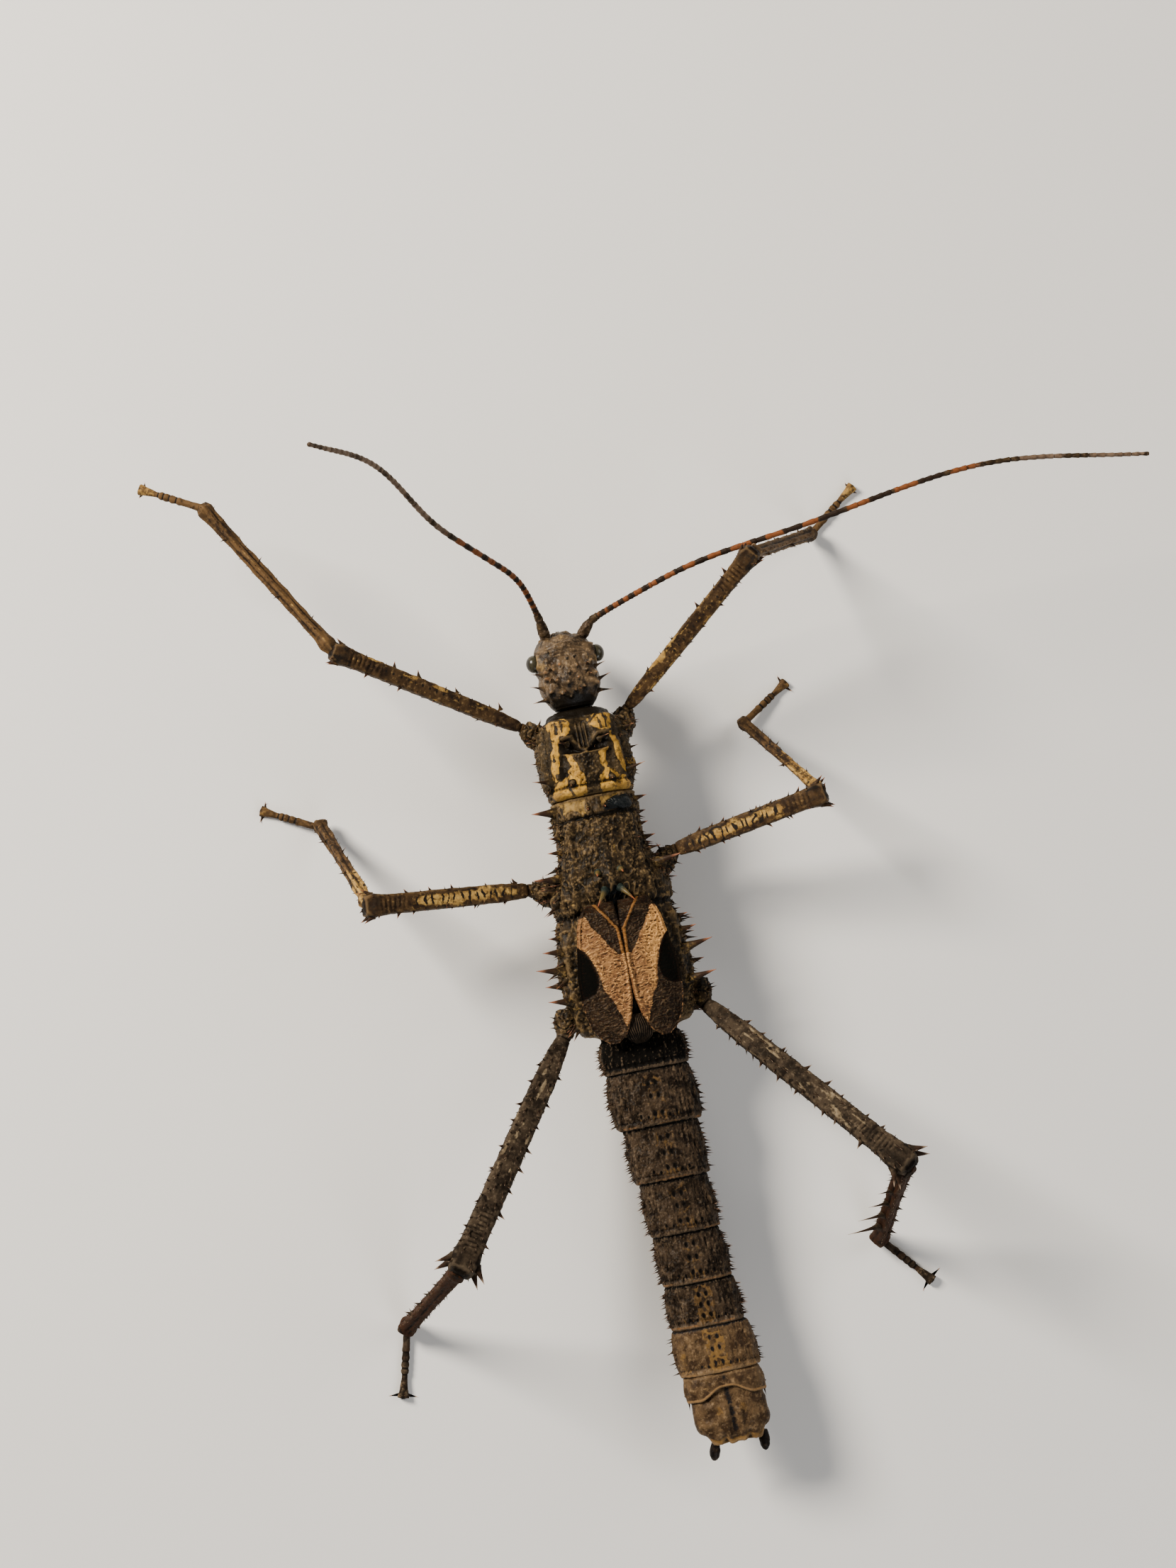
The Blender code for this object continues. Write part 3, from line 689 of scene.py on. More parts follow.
def painted(n, colour, **paints):
    """The pale, dark and rust markings over a ground colour."""
    masks = {mask.title() + "_Mask": n.mask(mask) for mask in ("pale", "dark", "rust")}
    return use(n, "marks", Color=colour, **paints, **masks)["Color"]


def cuticle(name, dark, middle, light, pale=(0.5, 0.36, 0.14), deep=(0.3, 0.18, 0.06),
            black=(0.008, 0.008, 0.009), rust=(0.28, 0.08, 0.025), stain=(0.06, 0.035, 0.013),
            shaft=(0.028, 0.015, 0.009), point=(0.42, 0.2, 0.1), rub_highlight=0.5, blotch=700.0,
            gloss=(0.34, 0.55), relief=0.35, specular=0.06, matte=0.0):
    """Insect shell: mottled ground, markings, thorn tips, painted shade in the hollows, and rubbed grains
    with a painted highlight.
    """
    n, made = new_material(name)
    colour = use(n, "ground", Dark=dark, Middle=middle, Light=light, Blotch_Scale=blotch)["Color"]
    colour = painted(n, colour, Pale=pale, Pale_Deep=deep, Black=black, Rust=rust, Stain=stain)
    # Painted shade in the hollows (the dark tone at 30%); a painted highlight, with rubbing, on raised grains
    # (towards the light tone).
    colour = use(n, "shade", Color=colour, Dirt=[c * 0.3 for c in dark], Worn=n.mix(0.6, colour, light),
                 Cavity=n.mask("cavity"), Wear=rub_highlight)["Color"]
    colour = use(n, "tips", Color=colour, Shaft=shaft, Point=point, Tip=n.mask("tip"))["Color"]
    fine = use(n, "relief", Strength=relief)
    dull = n.times(n.mask("dark"), matte)                    # black velvet has no shine
    sheen = n.math("MAXIMUM", n.spread(fine["Height"], 0.3, 0.7, *gloss), dull)
    n.surface(Base_Color=colour, Normal=fine["Normal"], Roughness=sheen, Specular_IOR_Level=specular)
    return made


SHELL = {
    "head": cuticle("Head Cuticle", (0.020, 0.012, 0.006), (0.088, 0.056, 0.029), (0.23, 0.154, 0.084),
                    rust=(0.18, 0.07, 0.02), pale=(0.26, 0.165, 0.065), deep=(0.15, 0.09, 0.03), rub_highlight=0.75,
                    black=(0.006, 0.004, 0.002), specular=0.16),
    "pronotum": cuticle("Pronotum Plates", (0.009, 0.006, 0.003), (0.040, 0.027, 0.013),
                        (0.15, 0.098, 0.045), pale=(0.49, 0.27, 0.045), deep=(0.27, 0.14, 0.022), rub_highlight=0.7,
                        black=(0.008, 0.006, 0.004), stain=(0.075, 0.042, 0.012)),
    "thorax": cuticle("Granular Thorax", (0.007, 0.005, 0.003), (0.036, 0.023, 0.011),
                      (0.185, 0.12, 0.054), pale=(0.27, 0.165, 0.045), deep=(0.14, 0.085, 0.025), rub_highlight=0.75,
                      black=(0.005, 0.006, 0.0065), stain=(0.035, 0.022, 0.009), point=(0.32, 0.13, 0.07)),
    "abdomen": cuticle("Wrinkled Abdomen", (0.008, 0.005, 0.003), (0.04, 0.026, 0.0155),
                       (0.105, 0.072, 0.044), pale=(0.105, 0.06, 0.022), deep=(0.07, 0.038, 0.014),
                       rust=(0.15, 0.07, 0.024), point=(0.45, 0.28, 0.19), rub_highlight=0.9,
                       black=(0.003, 0.0025, 0.002), stain=(0.03, 0.018, 0.008), matte=1.0),
    "tail": cuticle("Tail Plates", (0.030, 0.017, 0.009), (0.094, 0.057, 0.028), (0.2, 0.13, 0.068),
                    pale=(0.17, 0.095, 0.03), deep=(0.115, 0.062, 0.02), rust=(0.2, 0.1, 0.03),
                    point=(0.08, 0.035, 0.02), rub_highlight=0.8),
    "leg": cuticle("Mottled Legs", (0.020, 0.011, 0.006), (0.056, 0.031, 0.013), (0.15, 0.092, 0.04),
                   pale=(0.44, 0.27, 0.075), deep=(0.25, 0.135, 0.035), point=(0.32, 0.12, 0.05), rub_highlight=0.8,
                   rust=(0.098, 0.054, 0.021), black=(0.011, 0.008, 0.006), gloss=(0.5, 0.75), specular=0.08),
    "hind_leg": cuticle("Hind Legs", (0.013, 0.009, 0.006), (0.043, 0.030, 0.019), (0.10, 0.073, 0.047),
                        pale=(0.21, 0.16, 0.098), deep=(0.115, 0.083, 0.048), point=(0.34, 0.24, 0.17),
                        rust=(0.031, 0.013, 0.006), black=(0.009, 0.006, 0.004), gloss=(0.6, 0.85),
                        stain=(0.05, 0.034, 0.016), rub_highlight=0.7, specular=0.05),
    "feeler": cuticle("Banded Feelers", (0.018, 0.011, 0.006), (0.045, 0.028, 0.014), (0.11, 0.07, 0.035),
                      pale=(0.165, 0.112, 0.075), deep=(0.1, 0.064, 0.042), rust=(0.16, 0.052, 0.017),
                      black=(0.02, 0.012, 0.008), stain=(0.05, 0.03, 0.018), blotch=1600.0,
                      gloss=(0.35, 0.6), relief=0.3),
    "spine": cuticle("Back Spines", (0.008, 0.013, 0.012), (0.016, 0.024, 0.021), (0.04, 0.05, 0.04),
                     shaft=(0.085, 0.06, 0.018), point=(0.26, 0.07, 0.025), specular=0.2,
                     gloss=(0.25, 0.5), relief=0.3),
    "horn": cuticle("Dark Horn", (0.005, 0.004, 0.004), (0.016, 0.011, 0.008), (0.045, 0.03, 0.019),
                    gloss=(0.25, 0.5), relief=0.25),
    "callus": cuticle("Glossy Callus", (0.002, 0.003, 0.003), (0.0045, 0.006, 0.007), (0.012, 0.015, 0.015),
                      gloss=(0.2, 0.5), relief=0.6, specular=0.16, rub_highlight=0.3),
}


def make_wing():
    """Wing case: dark granular ground, copper field with a painted cream highlight on its ridges and painted
    shade in its creases, orange vein, black velvet.
    """
    n, made = new_material("Wing Case")
    colour = use(n, "ground", Dark=(0.008, 0.005, 0.003), Middle=(0.026, 0.016, 0.009),
                 Light=(0.085, 0.052, 0.026))["Color"]
    pale = n.mask("pale")
    colour = painted(n, colour, Pale=(0.27, 0.135, 0.052), Pale_Deep=(0.15, 0.068, 0.028),
                     Black=(0.0015, 0.0015, 0.001), Rust=(0.2, 0.085, 0.02), Stain=(0.07, 0.03, 0.01))
    # Painted highlight: the golden cream colour that the raised ridges of the copper field are given below.
    ridge_highlight = n.mix(n.spread(pale, 0.72, 0.95), (0.62, 0.33, 0.11), (0.86, 0.45, 0.13))
    ridge_highlight = n.mix(n.spread(pale, 0.3, 0.5), n.mix(0.5, colour, (0.11, 0.07, 0.035)), ridge_highlight)
    cream = n.mix(n.times(n.spread(pale, 0.74, 0.98), 0.75), colour, (0.56, 0.285, 0.085))
    # Painted shade in the creases; the painted ridge highlight on raised ridges.
    colour = use(n, "shade", Color=cream, Dirt=(0.022, 0.008, 0.003), Worn=ridge_highlight, Cavity=n.mask("cavity"),
                 Wear=0.9)["Color"]
    fine = use(n, "relief", Strength=0.4)
    satin = n.math("MAXIMUM", n.spread(fine["Height"], 0.3, 0.7, 0.35, 0.6), n.mask("dark"))
    n.surface(Base_Color=colour, Normal=fine["Normal"], Roughness=satin, Specular_IOR_Level=0.07)
    return made


SHELL["wing"] = make_wing()


def make_eye():
    """Glossy dark lens with marbled grey-green streaks."""
    n, made = new_material("Marbled Eye")
    place = n.place()
    bend = n.add("TexNoise", {"Vector": place, "Scale": 900.0, "Detail": 2.0})
    bend = bend.outputs["Color"]
    shift = n.add("VectorMath", {0: bend, "Scale": 0.0012}, operation="SCALE").outputs[0]
    swirl = n.add("VectorMath", {0: place, 1: bend, 2: shift}, operation="MULTIPLY_ADD")
    streak = n.noise(1700.0, 3.0, 0.6, swirl.outputs[0])
    colour = n.mix(n.spread(streak, 0.42, 0.62), (0.002, 0.002, 0.002), (0.014, 0.012, 0.008))
    banded = n.times(n.mask("pale"), n.spread(streak, 0.3, 0.6, 0.4, 1.0))
    colour = n.mix(banded, colour, (0.07, 0.062, 0.035))
    n.surface(Base_Color=colour, Roughness=0.24, Specular_IOR_Level=0.35)
    return made


SHELL["eye"] = make_eye()


# ---- head
HEAD = Form(["head"], 0.35, tops=(8.0, 99.0))
MOUTH = Form(["head"], 0.3, tops=(0.0, 8.0))
THORAX = Form(["prothorax", "mesothorax", "metathorax"])
ABDOMEN = Form(["abdomen_%d" % k for k in range(2, 11)], 0.4)

KNOBS = (                      # (across, back from the brow, height, width, whether the tip is black)
    (-1.4, 4, 0.5, 0.26, 0), (-2.1, 4.1, 0.4, 0.22, 0), (-2.15, 4.7, 0.42, 0.22, 0),
    (-1.33, 5, 0.3, 0.34, 0), (0, 4.43, 0.36, 0.22, 1), (1.67, 4.47, 0.38, 0.24, 1),
    (0.07, 2.9, 0.22, 0.16, 1), (0.8, 2.85, 0.22, 0.16, 1), (-0.25, 5.4, 0.46, 0.26, 0),
    (0.82, 5.1, 0.2, 0.18, 0), (2.25, 5.7, 0.5, 0.36, 0), (-0.24, 6.65, 0.42, 0.26, 0),
    (0.3, 6.2, 0.2, 0.2, 0), (-1.7, 2.05, 0.2, 0.18, 1), (2.3, 4.9, 0.4, 0.26, 0),
    (2.15, 3.7, 0.34, 0.26, 0), (1.25, 6, 0.34, 0.26, 0), (-1.95, 5.9, 0.42, 0.26, 0),
    (-1.05, 6.35, 0.34, 0.24, 0), (0.9, 3.9, 0.16, 0.16, 0), (-0.8, 3.5, 0.16, 0.16, 0))


def wrap_eyes(points):
    """Draws the skin round each eye into a raised cup that leaves the lens free."""
    ring = np.zeros(points.shape[:-1])
    for name, sign in SIDES.items():
        centre, radii = box_mm("eye_" + name)
        way = (points - centre) / radii
        apart = norm(way, axis=-1)
        outward = sign * way[..., 0] / np.maximum(apart, 0.01)
        target = 1.24 - 0.46 * ease(0.35, 0.62, outward) + 0.08 * noise(points, 0.5, 12)
        weight = ease(1.9, 1.25, apart)[..., None]
        moved = centre + radii * way / np.maximum(apart, 0.01)[..., None] * target[..., None]
        points = points + weight * (moved - points)
        ring = np.maximum(ring, bell(apart, 1.35, 0.3) * ease(0.75, 0.2, outward))
        way = (points - centre) / radii
        around = np.hypot(way[..., 1], way[..., 2])
        wall = bell(around, 1.2, 0.24) * ease(-1.9, -1.1, sign * way[..., 0])
        rise = np.clip(-0.22 + 0.16 * noise(points, 0.6, 14) - sign * way[..., 0], 0, None) * wall
        points = points + (rise * radii[0] * sign)[..., None] * [1.0, 0.0, 0.0]
        ring = np.maximum(ring, wall)
    return points, ring


def close_front(points, masks, bulge, seed, rows=34, split=-0.6):
    """Adds an uneven dome to the open front of a ring of skin, with markings that run on over its rim."""
    rim = points[0]
    centre = rim.mean(axis=0)
    share = np.linspace(0.03, 1, rows, endpoint=False)[:, None]
    dome = centre + share[..., None] * (rim - centre)
    aside, above = dome[..., 0] - centre[0], dome[..., 2] - centre[2]
    seam = bell(above + 0.15 * aside ** 2, -0.55, 0.12) * (split < 0)
    seam = (seam + bell(aside, 0, 0.09) * ease(split + 0.1, split - 0.1, above)) * ease(1.0, 0.8, share)
    relief = 0.1 * rough(dome, 0.8, seed, 4) + 0.05 * grains(dome, 0.32, seed + 1, 0.5)
    relief = (relief + 0.12 * bell(np.abs(aside), 0.7, 0.25)) * ease(1.0, 0.8, share) - 0.13 * seam
    dome[..., 1] += bulge * (1 - share ** 2) + relief
    face = np.concatenate([dome, points])
    relief, seam = (np.concatenate([value, np.zeros(points.shape[:2])]) for value in (relief, seam))
    own = {"pale": 0.4 * ease(0.0, 0.6, noise(face, 0.5, seed + 3)), "cavity": clamp(0.5 + 3.5 * relief),
           "dark": 0.4 * ease(0.0, 0.6, noise(face, 0.7, seed + 2)) + 0.45 * seam}
    fade = ease(rows + 18, rows + 2, np.arange(len(face)))[:, None]
    return face, {mask: own.get(mask, 0.0) * fade + (1 - fade) * np.concatenate([value[0] + 0 * share, value])
                  for mask, value in masks.items()}


def build_head():
    """Head capsule with brow, knobs and eye cups, the jaw under it, and the head's thorns.

    Here and below, x runs across a plate and d back from its front edge, both in millimetres.
    """
    piece = Piece("head_capsule")
    plate = Plate(HEAD, HEAD.high + 0.15, HEAD.low - 0.62, 0.84, 380, 0.06)
    points, back, lift, masks = plate.grid, plate.back, plate.lift, plate.masks
    x, d = plate.x, HEAD.high - plate.y
    wide = np.abs(x)
    rear = ease(5.0, 6.5, d + 0.35 * noise(points, 0.9, 2))
    lift += 0.10 * rough(points, 1.5, 3) + 0.085 * rough(points * [1.3, 0.8, 1], 0.62, 4, 4)
    lift += 0.035 * grains(points, 0.34, 5, 0.5) + 0.03 * grains(points, 0.2, 8, 0.6)
    brow = [(-0.1, 1.5), (0.7, 1.3), (1.25, 0.9), (1.9, 0.6)]
    vertex = [(-0.1, 3.5), (0.75, 2.9), (1.6, 2.6), (2.3, 3.2)]
    lift += back * (0.16 * along_line(wide, d, brow, 0.3) + 0.08 * along_line(wide, d, vertex, 0.3))
    striae = np.sin((d - 0.12 * wide ** 2) * 16 + 2.2 * noise(points, 1.0, 7))
    striae = striae * ease(3.0, 2.4, d) * ease(0.9, 1.3, d)
    lift += 0.035 * back * striae * ease(2.0, 1.4, wide)
    lift += back * 0.26 * along_line(wide, d, [(1.9, 3.0), (2.35, 5.0), (2.1, 6.6)], 0.3)
    lift -= back * 0.14 * along_line(wide, d, [(1.1, 3.6), (1.5, 5.2), (1.2, 6.6)], 0.26)
    lift -= 0.2 * (1 - back) * bell(d, 4.2, 0.5)
    for knob_x, knob_d, height, width, black_tip in KNOBS:
        distance = np.hypot(x - knob_x, d - knob_d)
        lift += height * back * np.exp(-(distance / (0.8 * width)) ** 1.2)
        mask, tip = ("dark", 0.16) if black_tip else ("rust", 0.1)
        masks[mask] += 0.95 * back * bell(distance, 0, tip)
        # Painted shadow: a dark blob on the rear side of each knob.
        masks["dark"] += 0.55 * back * blob(x - knob_x, d - knob_d - width - 0.08, 0.2)
    rim = ease(6.5, 7.1, d - 0.1 * wide ** 1.4 + 0.15 * noise(points, 0.8, 22))
    lift *= 1 - 0.85 * rim
    lift += 0.24 * bell(d, 7.25, 0.45)
    # The rear rim is painted black: a black band together with painted shade where the head meets the front
    # plate; the skin is also darker where it faces down.
    masks["dark"] += 1.0 * rim + 0.42 * rear * back + 0.35 * ease(0.3, -0.3, plate.out[..., 2])
    masks["rust"] += 0.36 * back * ease(0.3, 0.8, noise(points, 0.9, 21)) * (1 - rear)
    ochre = blob(wide - 2.35, d - 3.45, 0.75) + 0.45 * ease(0.25, 0.75, noise(points, 1.1, 25))
    masks["pale"] += 0.5 * back * ochre * (1 - rear)
    crust = ease(0.7, 0.1, d + 0.4 * noise(points, 0.5, 27)) * ease(-0.4, 0.1, plate.out[..., 2])
    lift += crust * (0.22 * rough(points, 0.5, 28, 4) + 0.1 * grains(points, 0.25, 29, 0.6))
    masks["pale"] += 0.9 * crust
    plate.squeeze(0.75, 0.55, front=1.0)
    lift -= 0.55 * ease(0.2, 0.0, plate.y - plate.y1)
    skin, ring = wrap_eyes(plate.finish())
    # The rear rim is held low in the cavity mask: painted shade darkens it and it gets little painted
    # highlight.
    masks["cavity"] = masks["cavity"] * (1 - 0.8 * rim) + 0.35 * rim
    masks["pale"] += 0.42 * ring * ease(-0.1, 0.6, noise(points, 0.5, 31))
    masks = {mask: clamp(value) for mask, value in masks.items()}
    piece.grid(*close_front(skin, masks, 0.4, 34), room=(0, 0, 0.8, 0.8))
    jaw = Plate(MOUTH, MOUTH.high, MOUTH.low - 0.6, 0.8, 120, 0.06)
    jaw.lift += 0.06 * rough(jaw.grid, 0.5, 32) - 0.22 * bell(jaw.x, 0, 0.1) * ease(0.2, 0.6, jaw.along)
    jaw.masks["pale"] += 0.35
    jaw.squeeze(0.6, 0.4, front=1.0)
    piece.grid(*close_front(jaw.finish(), jaw.masks, 0.3, 38, 16, 1.0), room=(0.8, 0, 1, 0.4))
    roots, tips, radii = solid_thorns("head")
    piece.thorns(roots, tips, radii, {"rust": [0.3] * len(roots)})
    piece.build("head", "head", "head")


# ---- thorax
def granules(points, seed, coarse, fine):
    """Relief of crowded grains on a softly uneven surface."""
    return (coarse * grains(points, 0.62, seed, 0.42) + fine * grains(points, 0.34, seed + 9, 0.55)
            + 0.6 * fine * grains(points, 0.21, seed + 19, 0.6) + 0.12 * rough(points, 1.7, seed + 30))


def pleural_folds(plate, seed):
    """Lumps and oblique folds on the flanks."""
    flank = 1 - plate.back
    skewed = plate.grid * [0.7, 1.6, 0.8]
    bent = plate.grid + 0.6 * noise(plate.grid, 1.8, seed + 4)[..., None]
    creases = 1 - np.abs(noise(bent * [0.8, 1.8, 0.9], 1.1, seed + 2)) * 1.6
    return flank * (0.24 * rough(skewed, 1.5, seed) + 0.17 * clamp(creases))


PRONOTUM_PALE = (              # golden patches of the front plate: (across, back from its front edge)
    [(-3.2, -0.1), (-2.2, 0), (-1.4, 0.3), (-0.9, 0.8), (-1.05, 1.5), (-1.6, 2.25), (-2.2, 2.1),
     (-2.45, 2.9), (-2.95, 2.7), (-3.15, 1.7), (-3.3, 0.6)],
    [(0.8, 0.75), (1.8, 0.1), (3.1, -0.2), (3.4, 0.1), (3.2, 1.2), (3.1, 2.15), (2.5, 2.25), (1.7, 2.1),
     (1.2, 1.75), (0.85, 1.35)],
    [(-3.15, 2.3), (-2.6, 2.4), (-2.45, 2.9), (-2.55, 3.6), (-2.75, 4.6), (-2.85, 5.8), (-2.95, 6.5),
     (-3.5, 6.6), (-3.75, 6), (-3.6, 4.8), (-3.4, 3.6), (-3, 3)],
    [(2.55, 2.4), (2.95, 2.3), (3.3, 2.9), (3.65, 4), (3.85, 5.2), (4, 6.4), (3.7, 6.75), (3.3, 6.5),
     (3.05, 5.4), (2.9, 4.3), (2.7, 3.2)],
    [(-2, 3.95), (-1.35, 4.1), (-1.2, 4.7), (-0.9, 5.2), (-0.55, 6.2), (-0.4, 7.1), (-0.6, 8.6),
     (-2.2, 8.7), (-3.6, 8.5), (-3.8, 6.95), (-2.75, 6.35), (-2.05, 5.95), (-2.25, 5.6), (-1.6, 5.2),
     (-1.85, 4.6)],
    [(1.2, 4.2), (2.25, 4), (1.95, 5.1), (2.05, 5.55), (1.9, 5.9), (2.6, 6.15), (2.85, 6.7), (3.7, 7),
     (3.9, 8.5), (3, 8.7), (0.9, 8.6), (0.75, 7.5), (0.8, 6.7), (1.35, 6), (1.2, 5.4)])
PRONOTUM_STREAKS = (           # brown lines through those patches
    [(-2.4, 0.8), (-2.3, 1.8)], [(-1.8, 0.8), (-1.85, 1.7)], [(-3, 0.35), (-2, 0.5), (-1.2, 0.75)],
    [(2.35, 0.6), (2.45, 1.9)], [(1.8, 0.95), (1.95, 1.9)], [(0.9, 1.1), (1.7, 0.55), (2.3, 0.35)],
    [(-2.2, 7), (-1.9, 7.9)])
PRONOTUM_PITS = (              # sunken fields behind the front lobes
    [(-2.4, 2.75), (-1.6, 2.65), (-0.95, 3.2), (-0.3, 3.85), (-0.8, 3.98), (-2, 3.85)],
    [(0.45, 3.9), (0.95, 3.2), (1.6, 2.75), (2.3, 2.85), (2, 3.6), (1.3, 3.95)])
PRONOTUM_FOLDS = (             # raised lips in front of the pits
    [(-1.95, 2.4), (-1.05, 2.25), (-0.72, 3.3), (-0.15, 3.8)],
    [(2.5, 2.35), (1.5, 2.4), (0.78, 3.3), (0.25, 3.8)])
LEAN_BACK = np.array([0.0, -0.3, 0.0])                   # small thorns lean towards the tail


def build_pronotum():
    """Front plate of the thorax: a flat golden disc with pits and a collar, and granular flanks."""
    piece = Piece("pronotum_shell")
    low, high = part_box("prothorax")
    edge_at, rear = high[1] / MM, low[1] / MM - 0.35
    plate = Plate(THORAX, edge_at + 0.62, rear, columns=340, step=0.07)
    points, back, lift, masks = plate.grid, plate.back, plate.lift, plate.masks
    d = edge_at - plate.y
    wobble = 0.16 * rough(points, 0.9, 41) + 0.06 * noise(points, 0.35, 42)
    away = np.abs(plate.x)
    edge = 3.3 + 0.06 * d                              # half width of the flat disc
    disc = ease(edge + 0.5, edge - 0.3, away) * back
    side = 1 - disc
    lift += granules(points, 60, 0.1, 0.09) * (0.25 + 0.75 * side) + pleural_folds(plate, 70)
    streaks = noise(points * [2.6, 0.55, 1.0], 0.9, 52)
    lift += disc * (0.09 * rough(points, 0.75, 61, 4) + 0.06 * streaks * ease(3.6, 3.0, d))
    middle = ease(1.5, 1.0, away) * ease(4.1, 4.4, d) * ease(7.4, 7.0, d) * disc
    lift += middle * (0.15 * grains(points, 0.34, 62, 0.6) + 0.1 * rough(points, 0.4, 63, 3))
    lift += disc * (0.035 * rough(points, 0.22, 48, 3) + 0.05 * grains(points, 0.24, 49, 0.4))
    lobe = blob((away - 1.95) / 1.15, (d - 1.5) / 1.5, 0.9)
    lift += disc * (0.4 * lobe + 0.16 * bell(away, 3.2, 0.42) * ease(2.6, 3.4, d))
    lift -= disc * 0.3 * bell(away, 0.1, 0.8) * ease(4.0, 3.2, d) * ease(0.3, 1.0, d)
    seams = bell(away, 0.0, 0.1) + bell(away, 0.42, 0.1)
    lift += disc * 0.14 * seams * ease(0.7, 1.2, d) * ease(3.7, 3.2, d)
    u, w = plate.x + 0.5 * wobble, d + 0.06 * rough(points, 0.5, 64)      # x and d with a slight waver
    pits = patches(u, w, PRONOTUM_PITS, -0.45, 0.35)
    lift -= disc * 0.42 * pits
    for fold in PRONOTUM_FOLDS:
        lift += disc * 0.24 * along_line(u, w, fold, 0.26)
    margin = line_distance(u, w, [(-2.1, 3.95), (-0.75, 4.12), (0.45, 4.1), (1.35, 4.07), (2.3, 3.98)])
    lift += disc * (0.26 * bell(margin, 0, 0.14) + 0.12 * middle)
    lift -= disc * 0.2 * along_line(away, d, [(2.35, 4.2), (2.4, 6.1)], 0.4)
    tubercles = np.minimum(np.hypot(u + 1.78, w - 6.8), np.hypot(u - 2.1, w - 6.88))
    lift += disc * 0.55 * np.exp(-(tubercles / 0.36) ** 1.5)
    lift += 0.34 * back * bell(d, 7.75, 0.42) - 0.12 * back * bell(d, 7.2, 0.2)
    lift += 0.1 * disc * bell(d, 0.4, 0.25) - 0.2 * side * bell(away, edge + 0.35, 0.3) * back
    ragged_x = plate.x + wobble + 0.05 * rough(points, 0.3, 65)
    ragged_d = d + 0.13 * rough(points, 0.9, 47) + 0.05 * rough(points, 0.28, 66)
    pale = patches(ragged_x, ragged_d, PRONOTUM_PALE, -0.1, 0.16)
    for line in PRONOTUM_STREAKS:
        pale *= 1 - 0.85 * along_line(ragged_x, ragged_d, line, 0.11)
    hole = bell(tubercles, 0.02, 0.3)
    dots = np.minimum(np.hypot(ragged_x + 0.69, w - 5.6), np.hypot(ragged_x - 1.27, w - 6.05))
    dots = bell(dots, 0, 0.22)
    pale *= 1 - 0.75 * ease(0.3, 0.7, noise(points * [1.5, 0.8, 1.0], 0.7, 55)) * ease(7.4, 6.4, d)
    soiled = 0.72 + 0.34 * noise(points, 0.34, 58) + 0.22 * noise(points, 0.8, 59)
    masks["pale"] = clamp(pale * disc * soiled + 0.4 * disc * bell(margin, 0, 0.1) - 1.2 * hole - dots)
    collar = ease(0.55, 0.2, d + 0.12 * noise(points, 0.8, 68))
    masks["pale"] *= 1 - collar
    masks["dark"] = clamp(disc * (1 - masks["pale"]) * (0.38 + 0.3 * noise(points, 1.3, 56))
                          + disc * hole + 0.95 * collar + 0.62 * disc * pits)
    masks["pale"] += 0.42 * side * ease(0.1, 0.7, noise(points, 0.9, 57)) * (1 - collar)
    lift *= 1 - 0.6 * collar
    lift -= 0.28 * ease(0.0, -0.6, d)
    lift += 0.05 * collar * np.sin(8 * d + 3 * noise(points, 1.2, 67))
    plate.squeeze(0.5, 0.25, front=1.0)
    plate.squeeze(1.0, 0.35, rear=1.0)
    skin = plate.finish()
    # The collar is held low in the cavity mask: painted shade darkens it and it gets no painted highlight.
    masks["cavity"] = masks["cavity"] * (1 - 0.8 * collar) + 0.22 * collar
    piece.grid(skin, masks)
    piece.thorns(*solid_thorns("prothorax"))
    flank = bell(plate.out[..., 2], 0.25, 0.35) * (plate.along > 0.15) * (plate.along < 0.93)
    piece.thorns(*scatter(plate, 60, 9, flank, (0.18, 0.5), 0.15), room=(0.5, 0.82, 1, 1))
    piece.build("pronotum", "pronotum", "prothorax")


def scatter(plate, many, seed, choose, lengths, radius):
    """Seeded small thorns, more where choose is high: roots, tips and radii."""
    random = np.random.default_rng(seed)
    rows, columns = plate.x.shape
    skin = plate.grid + plate.out * plate.lift[..., None]
    chance = choose.ravel() / max(choose.sum(), 1e-9)
    picks = random.choice(rows * columns, size=many, p=chance, replace=False)
    roots = skin.reshape(-1, 3)[picks]
    out = plate.out.reshape(-1, 3)[picks] + random.normal(0, 0.16, (many, 3)) + LEAN_BACK
    length = random.uniform(*lengths, (many, 1))
    return roots, roots + out * length, radius * random.uniform(0.7, 1.3, many)


def flank_thorns(piece, plate, seed, many):
    """Clusters of middle and small thorns down both flanks, longer in the clusters."""
    inside = (plate.along > 0.06) * (plate.along < 0.93)
    flank = bell(plate.out[..., 2], 0.22, 0.28) * inside
    cluster = ease(0.0, 0.5, noise(plate.grid * [0.2, 1.0, 0.2], 1.8, seed))
    piece.thorns(*scatter(plate, many // 5, seed + 1, flank * cluster, (0.7, 1.45), 0.34),
                 room=(0, 0.4, 1, 0.7))
    piece.thorns(*scatter(plate, many, seed + 2, flank, (0.2, 0.65), 0.17), room=(0, 0.7, 1, 1))


def build_callus(place):
    """A dark glossy lump on the right shoulder, sunk a little into the skin."""
    turn, around = ball_angles(60, 72)
    shape = [-1.25 * np.cos(turn) + 0 * around, 0.58 * np.sin(turn) * np.cos(around) + 0.25 * np.cos(turn),
             0.5 * np.sin(turn) * np.sin(around) + 0.3 * np.cos(turn)]
    lump = np.stack(shape, axis=-1) + place - [0.05, 0.05, 0.14]
    bumps = 0.34 * rough(lump, 0.9, 84, 4) + 0.07 * grains(lump, 0.36, 83, 0.5)
    lump = lump + normals(lump) * bumps[..., None]
    knob = Piece("shoulder_callus")
    knob.grid(lump, {"cavity": 0.5})
    knob.build("callus", "thorax")


